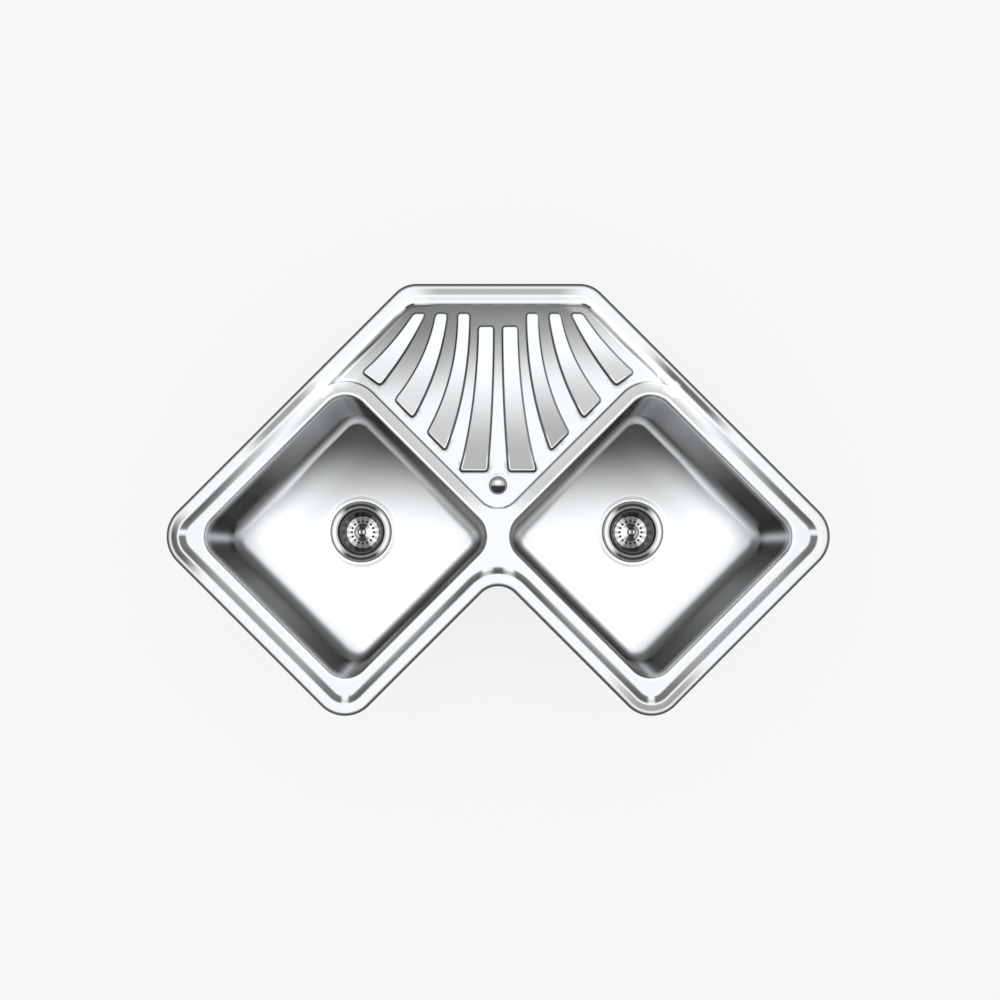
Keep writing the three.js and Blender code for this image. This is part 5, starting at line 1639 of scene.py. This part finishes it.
class SINK_OT_overflow(bpy.types.Operator):
    """Makes the drainer's overflow outlet, its pipe to the left waste and the nuts"""

    bl_idname = "sink.overflow"
    bl_label = "Overflow"

    def execute(self, context):
        p, h = places(), overflow_levels()
        outlet = Matrix.Translation((0, p.outlet[1], 0))
        foot = block((13.2, -1.2, h.seat + 0.3), (14.8, 1.2, h.seat + 2.6))
        cap = run_tree(piece("dome_cap", cap_shell(h)), "copies_round", foot, Count=3, Radius=0.0)
        paint_light_on_piece(cap, cap_painted_light)
        ring = piece("outlet_washer", washer(12.5, 19, h.gasket_top - 2, h.gasket_top, 0.6))
        body = piece("outlet_housing", overflow_body_shell(h))
        pipe = piece("rigid_pipe", tube_shell(pipe_stations(), PIPE_OUTER, PIPE_BORE))
        tail = outlet @ Matrix.Translation((0, 0, h.tail * MM))
        left_inlet = waste_matrix("left") @ inlet_matrix(-1, 76)
        right_inlet = waste_matrix("right") @ inlet_matrix(1, 70.8)
        for made, material, node_name, place in (
            (cap, "bright_chrome", "overflow_cap", outlet),
            (ring, "black_epdm_rubber", "overflow_gasket", outlet),
            (body, "black_polypropylene", "overflow_body", outlet),
            (pipe, "grey_polypropylene", "overflow_pipe", None),
            (ribbed_nut("upper_nut", OPEN_NUT), "grey_polypropylene", "overflow_top_nut", tail),
            (ribbed_nut("inlet_nut", OPEN_NUT), "grey_polypropylene", "overflow_side_nut", left_inlet),
            (ribbed_nut("blind_nut", BLIND_NUT), "grey_polypropylene", "inlet_blanking_cap", right_inlet),
        ):
            finish(made, material, [node_name], place=place)
        return {"FINISHED"}


# ------------------------------------------------------------------ pads, seal and clips


# a pad's edge inside the bowl's mouth, the radius of its corners and of its hole round the waste
PAD_INSET, PAD_CORNER, PAD_HOLE = 50 * MM, 20 * MM, 66 * MM


class SINK_OT_pads(bpy.types.Operator):
    """Makes the sound pads under the bowls and the seal under the rim"""

    bl_idname = "sink.pads"
    bl_label = "Pads and seal"

    def execute(self, context):
        s, p = sizes(), places()
        for name, side in SIDES:
            low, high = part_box(f"{name}_sound_pad")
            centre = middle(f"{name}_waste_flange")
            outer = spaced(bowl_ring(s, p, side, PAD_INSET, PAD_CORNER, 8), 10 * MM)
            hole = circle((centre.x, centre.y), PAD_HOLE, 72)
            pad = piece(f"{name}_bitumen_pad", slab(outer, hole, low.z, high.z, 0.8 * MM))
            finish(pad, "bitumen_pad", [f"{name}_sound_pad"])
        _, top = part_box("rim_seal")
        # inset from the rim's edge and height, in millimetres
        section = [
            (4, 0.6), (4, 5.1), (4.6, top.z / MM), (13.4, top.z / MM), (14, 5.1), (14, 0.6), (13.4, 0),
            (4.6, 0), (4, 0.6),
        ]
        rings = [at_height(rounded(p.rim_corners, inset * MM), z * MM) for inset, z in section]
        finish(piece("foam_strip", Shell().band(rings)), "closed_cell_foam", ["rim_seal"])
        return {"FINISHED"}


CLIP_INSET = 20 * MM
# the rim corners on both sides of each clip, and its share of the way between them
CLIP_PLACES = (
    (2, 3, 0.5), (1, 2, 0.3), (1, 2, 0.75), (3, 4, 0.25), (3, 4, 0.7), (0, 1, 0.5), (4, 5, 0.5),
    (5, 6, 0.45), (6, 0, 0.55),
)
BRACKET = [
    (5, 0.7), (5, 2.2), (-8, 2.2, 2.4), (-8, -27.8, 0.3), (-6.5, -27.8, 0.3), (-6.5, 0.7, 0.9),
    (5, 0.7),
]


def clip_spots():
    """Place and outward angle of each clip's screw."""
    corners = [Vector(corner[:2]) for corner in places().rim_corners]
    spots = []
    for start, end, share in CLIP_PLACES:
        along = (corners[end] - corners[start]).normalized()
        outwards = Vector((along.y, -along.x))
        at = corners[start].lerp(corners[end], share) - outwards * CLIP_INSET
        spots.append((at, math.atan2(outwards.y, outwards.x)))
    return spots


def claw_shell():
    """Lever with a round heel on the screw and two teeth that bite the worktop."""
    heel = arc((0, 0), 7 * MM, math.pi / 2, 3 * math.pi / 2, 1 * MM)
    tip = filleted([(0, -7), (13, -5.4, 3), (18, -5, 1.5), (18, 5, 1.5), (13, 5.4, 3), (0, 7)]) * MM
    outline = spaced(np.concatenate([heel, tip[1:-1]]), 2 * MM)
    plate = slab(outline, circle((0, 0), 2.8 * MM, 24), -43 * MM, -40 * MM, 0.4 * MM)
    teeth = [
        bar([(x, -40.6), (x + 2.5, -40.6), (x + 2.5, -38.3), (x + 2.1, -38.3)], 4)
        for x in (15.5, 11)
    ]
    return merged(plate, *teeth)


def clip_screw():
    """Machine screw with a hexagon head, its thread made of ridges."""
    shank = turned_shell([(0, -57), (2.15, -57, 0.2), (2.15, 1.4, 0.3), (1.6, 1.9, 0.1), (0, 1.9)], 24)
    hexagon = circle((0, 0), 4.4 * MM, 6)
    head = solid_between(at_height(hexagon, -60.5 * MM), at_height(hexagon, -56.9 * MM))
    screw = bevelled(piece("clip_bolt", merged(shank, head)), 0.3 * MM)
    ridge = turned_shell(
        [(2.1, -0.45), (2.5, -0.05), (2.5, 0.05), (2.1, 0.45), (2, 0), (2.1, -0.45)], 20)
    return run_tree(screw, "copies_up", ridge, Count=56, Start=-55.6 * MM, Pitch=1 * MM)


class SINK_OT_clips(bpy.types.Operator):
    """Makes the nine fixing clips: brackets, screws and toothed claws"""

    bl_idname = "sink.clips"
    bl_label = "Fixing clips"

    def execute(self, context):
        spots = clip_spots()
        zinc = material_named("zinc_plated_steel")
        bracket = bevelled(piece("bracket_shape", bar(filleted(BRACKET)[:-1], 8)), 0.25 * MM)
        for name, shape, part in (
            ("clip_brackets", bracket, "bracket"), ("clip_bolts", clip_screw(), "screw"),
        ):
            marks = bpy.data.meshes.new(name)
            marks.from_pydata([(at.x, at.y, 0) for at, _ in spots], [], [])
            store(marks, "turn", [turn for _, turn in spots])
            made = run_tree(show(marks), "copies_on_points", shape, Material=zinc)
            nodes = [f"clip_{i + 1}_{part}" for i in range(len(spots))]
            finish(made, "zinc_plated_steel", nodes)
        for i, (at, turn) in enumerate(spots, 1):
            place = Matrix.Translation((at.x, at.y, 0)) @ Matrix.Rotation(turn, 4, "Z")
            claw = piece(f"claw_{i}", claw_shell())
            finish(claw, "zinc_plated_steel", [f"clip_{i}_claw"], f"clip_{i}_swing", place)
        return {"FINISHED"}


# ------------------------------------------------------------------ stage


FLOOR_HALF = 6.0
FLOOR_GLOW, FLOOR_SHADE = 0.85, 0.15
ROOM_GREY = 0.75
# lamps of even brightness, which a mirror shows in front of the room: place, turn round Y in
# degrees, width, depth and brightness
SOFTBOXES = {
    "ceiling_softbox": ((0, 0.15, 2.4), 0, 3.4, 2.6, 0.7),
    "left_softbox": ((-2.2, 0.0, 1.3), -60, 0.8, 1.6, 0.8),
    "right_softbox": ((2.2, 0.0, 1.3), 60, 0.8, 1.6, 0.8),
}


class SINK_OT_stage(bpy.types.Operator):
    """Makes the floor, the lamps, the world and the camera straight above the sink"""

    bl_idname = "sink.stage"
    bl_label = "Stage"

    def execute(self, context):
        scene = context.scene
        scene.view_settings.view_transform = "Standard"
        low, _ = cad_box
        corners = np.array([(-1, -1), (1, -1), (1, 1), (-1, 1)]) * FLOOR_HALF
        floor = Shell().cap(at_height(corners, low.z - 1 * MM))
        made = piece("studio_floor", floor)
        made.data.materials.append(studio_floor())
        scene.world = bpy.data.worlds.new("studio_room")
        room = emptied(scene.world)
        glow = node(room, "ShaderNodeBackground", {"Color": rgba([ROOM_GREY] * 3), "Strength": 1})
        node(room, "ShaderNodeOutputWorld", {"Surface": glow}, None)
        for name, (place, turn, width, depth, radiance) in SOFTBOXES.items():
            lamp = bpy.data.lights.new(name, "AREA")
            lamp.shape = "RECTANGLE"
            lamp.size, lamp.size_y = width, depth
            lamp.energy = radiance * math.pi * width * depth
            box = bpy.data.objects.new(name, lamp)
            box.location = place
            box.rotation_euler = (0, math.radians(turn), 0)
            scene.collection.objects.link(box)
        photo_camera(scene)
        return {"FINISHED"}


def studio_floor():
    """Plain pale floor: its own colour to the camera and in reflections, with the sink's shadow."""
    material = bpy.data.materials.new("studio_floor")
    tree = emptied(material)
    ray = node(tree, "ShaderNodeLightPath", output=None)
    shown = ray["Is Camera Ray"]
    for kind in ("Is Glossy Ray", "Is Transmission Ray"):
        shown = node(tree, "ShaderNodeMath", {0: shown, 1: ray[kind]}, operation="MAXIMUM")
    tint = rgba(finishes().floor)
    pale = node(tree, "ShaderNodeBsdfDiffuse", {"Color": tint})
    glow = node(tree, "ShaderNodeEmission", {"Color": tint, "Strength": FLOOR_GLOW})
    lit = node(tree, "ShaderNodeBsdfDiffuse", {"Color": rgba([FLOOR_SHADE] * 3)})
    both = node(tree, "ShaderNodeAddShader", {0: glow, 1: lit})
    mixed = node(tree, "ShaderNodeMixShader", {0: shown, 1: pale, 2: both})
    node(tree, "ShaderNodeOutputMaterial", {"Surface": mixed}, None)
    return material


CAMERA_HEIGHT = 1.577
CAMERA_TOWARDS_FRONT = 0.101
CAMERA_TOWARDS_LEFT = 0.024
FRAME_SHIFT = 0.0018
FRAME_WIDTH_AT_RIM = 1.691
SENSOR = 36.0


def photo_camera(scene):
    """Looks straight down from a little in front and left of the middle, shifted to frame the sink."""
    lens = bpy.data.cameras.new("photo_camera")
    above_rim = CAMERA_HEIGHT - places().rim_top
    lens.sensor_width = SENSOR
    lens.lens = SENSOR * above_rim / FRAME_WIDTH_AT_RIM
    lens.shift_x = FRAME_SHIFT + CAMERA_TOWARDS_LEFT / FRAME_WIDTH_AT_RIM
    lens.shift_y = CAMERA_TOWARDS_FRONT / FRAME_WIDTH_AT_RIM
    camera = bpy.data.objects.new("photo_camera", lens)
    camera.location = (-CAMERA_TOWARDS_LEFT, -CAMERA_TOWARDS_FRONT, CAMERA_HEIGHT)
    scene.collection.objects.link(camera)
    scene.camera = camera


# ------------------------------------------------------------------ sidebar and registration


OPERATORS = (
    SINK_OT_deck, SINK_OT_bowls, SINK_OT_wastes, SINK_OT_overflow, SINK_OT_pads, SINK_OT_clips,
    SINK_OT_stage,
)


class SINK_PT_panel(bpy.types.Panel):
    """Lists the sink's pieces"""

    bl_idname = "SINK_PT_panel"
    bl_label = "Corner sink"
    bl_space_type = "VIEW_3D"
    bl_region_type = "UI"
    bl_category = "Sink"

    def draw(self, context):
        for operator in OPERATORS:
            self.layout.operator(operator.bl_idname)
        for group in (context.scene.sink_sizes, context.scene.sink_finishes):
            for name in group.bl_rna.properties.keys():
                if name not in ("rna_type", "name"):
                    self.layout.prop(group, name)


CLASSES = (SinkSizes, SinkFinishes, *OPERATORS, SINK_PT_panel)


def register():
    for made in CLASSES:
        bpy.utils.register_class(made)
    bpy.types.Scene.sink_sizes = PointerProperty(type=SinkSizes)
    bpy.types.Scene.sink_finishes = PointerProperty(type=SinkFinishes)


def unregister():
    del bpy.types.Scene.sink_finishes
    del bpy.types.Scene.sink_sizes
    for made in reversed(CLASSES):
        bpy.utils.unregister_class(made)


def main():
    register()
    for operator in OPERATORS:
        group, name = operator.bl_idname.split(".")
        getattr(getattr(bpy.ops, group), name)()


if __name__ == "__main__":
    main()
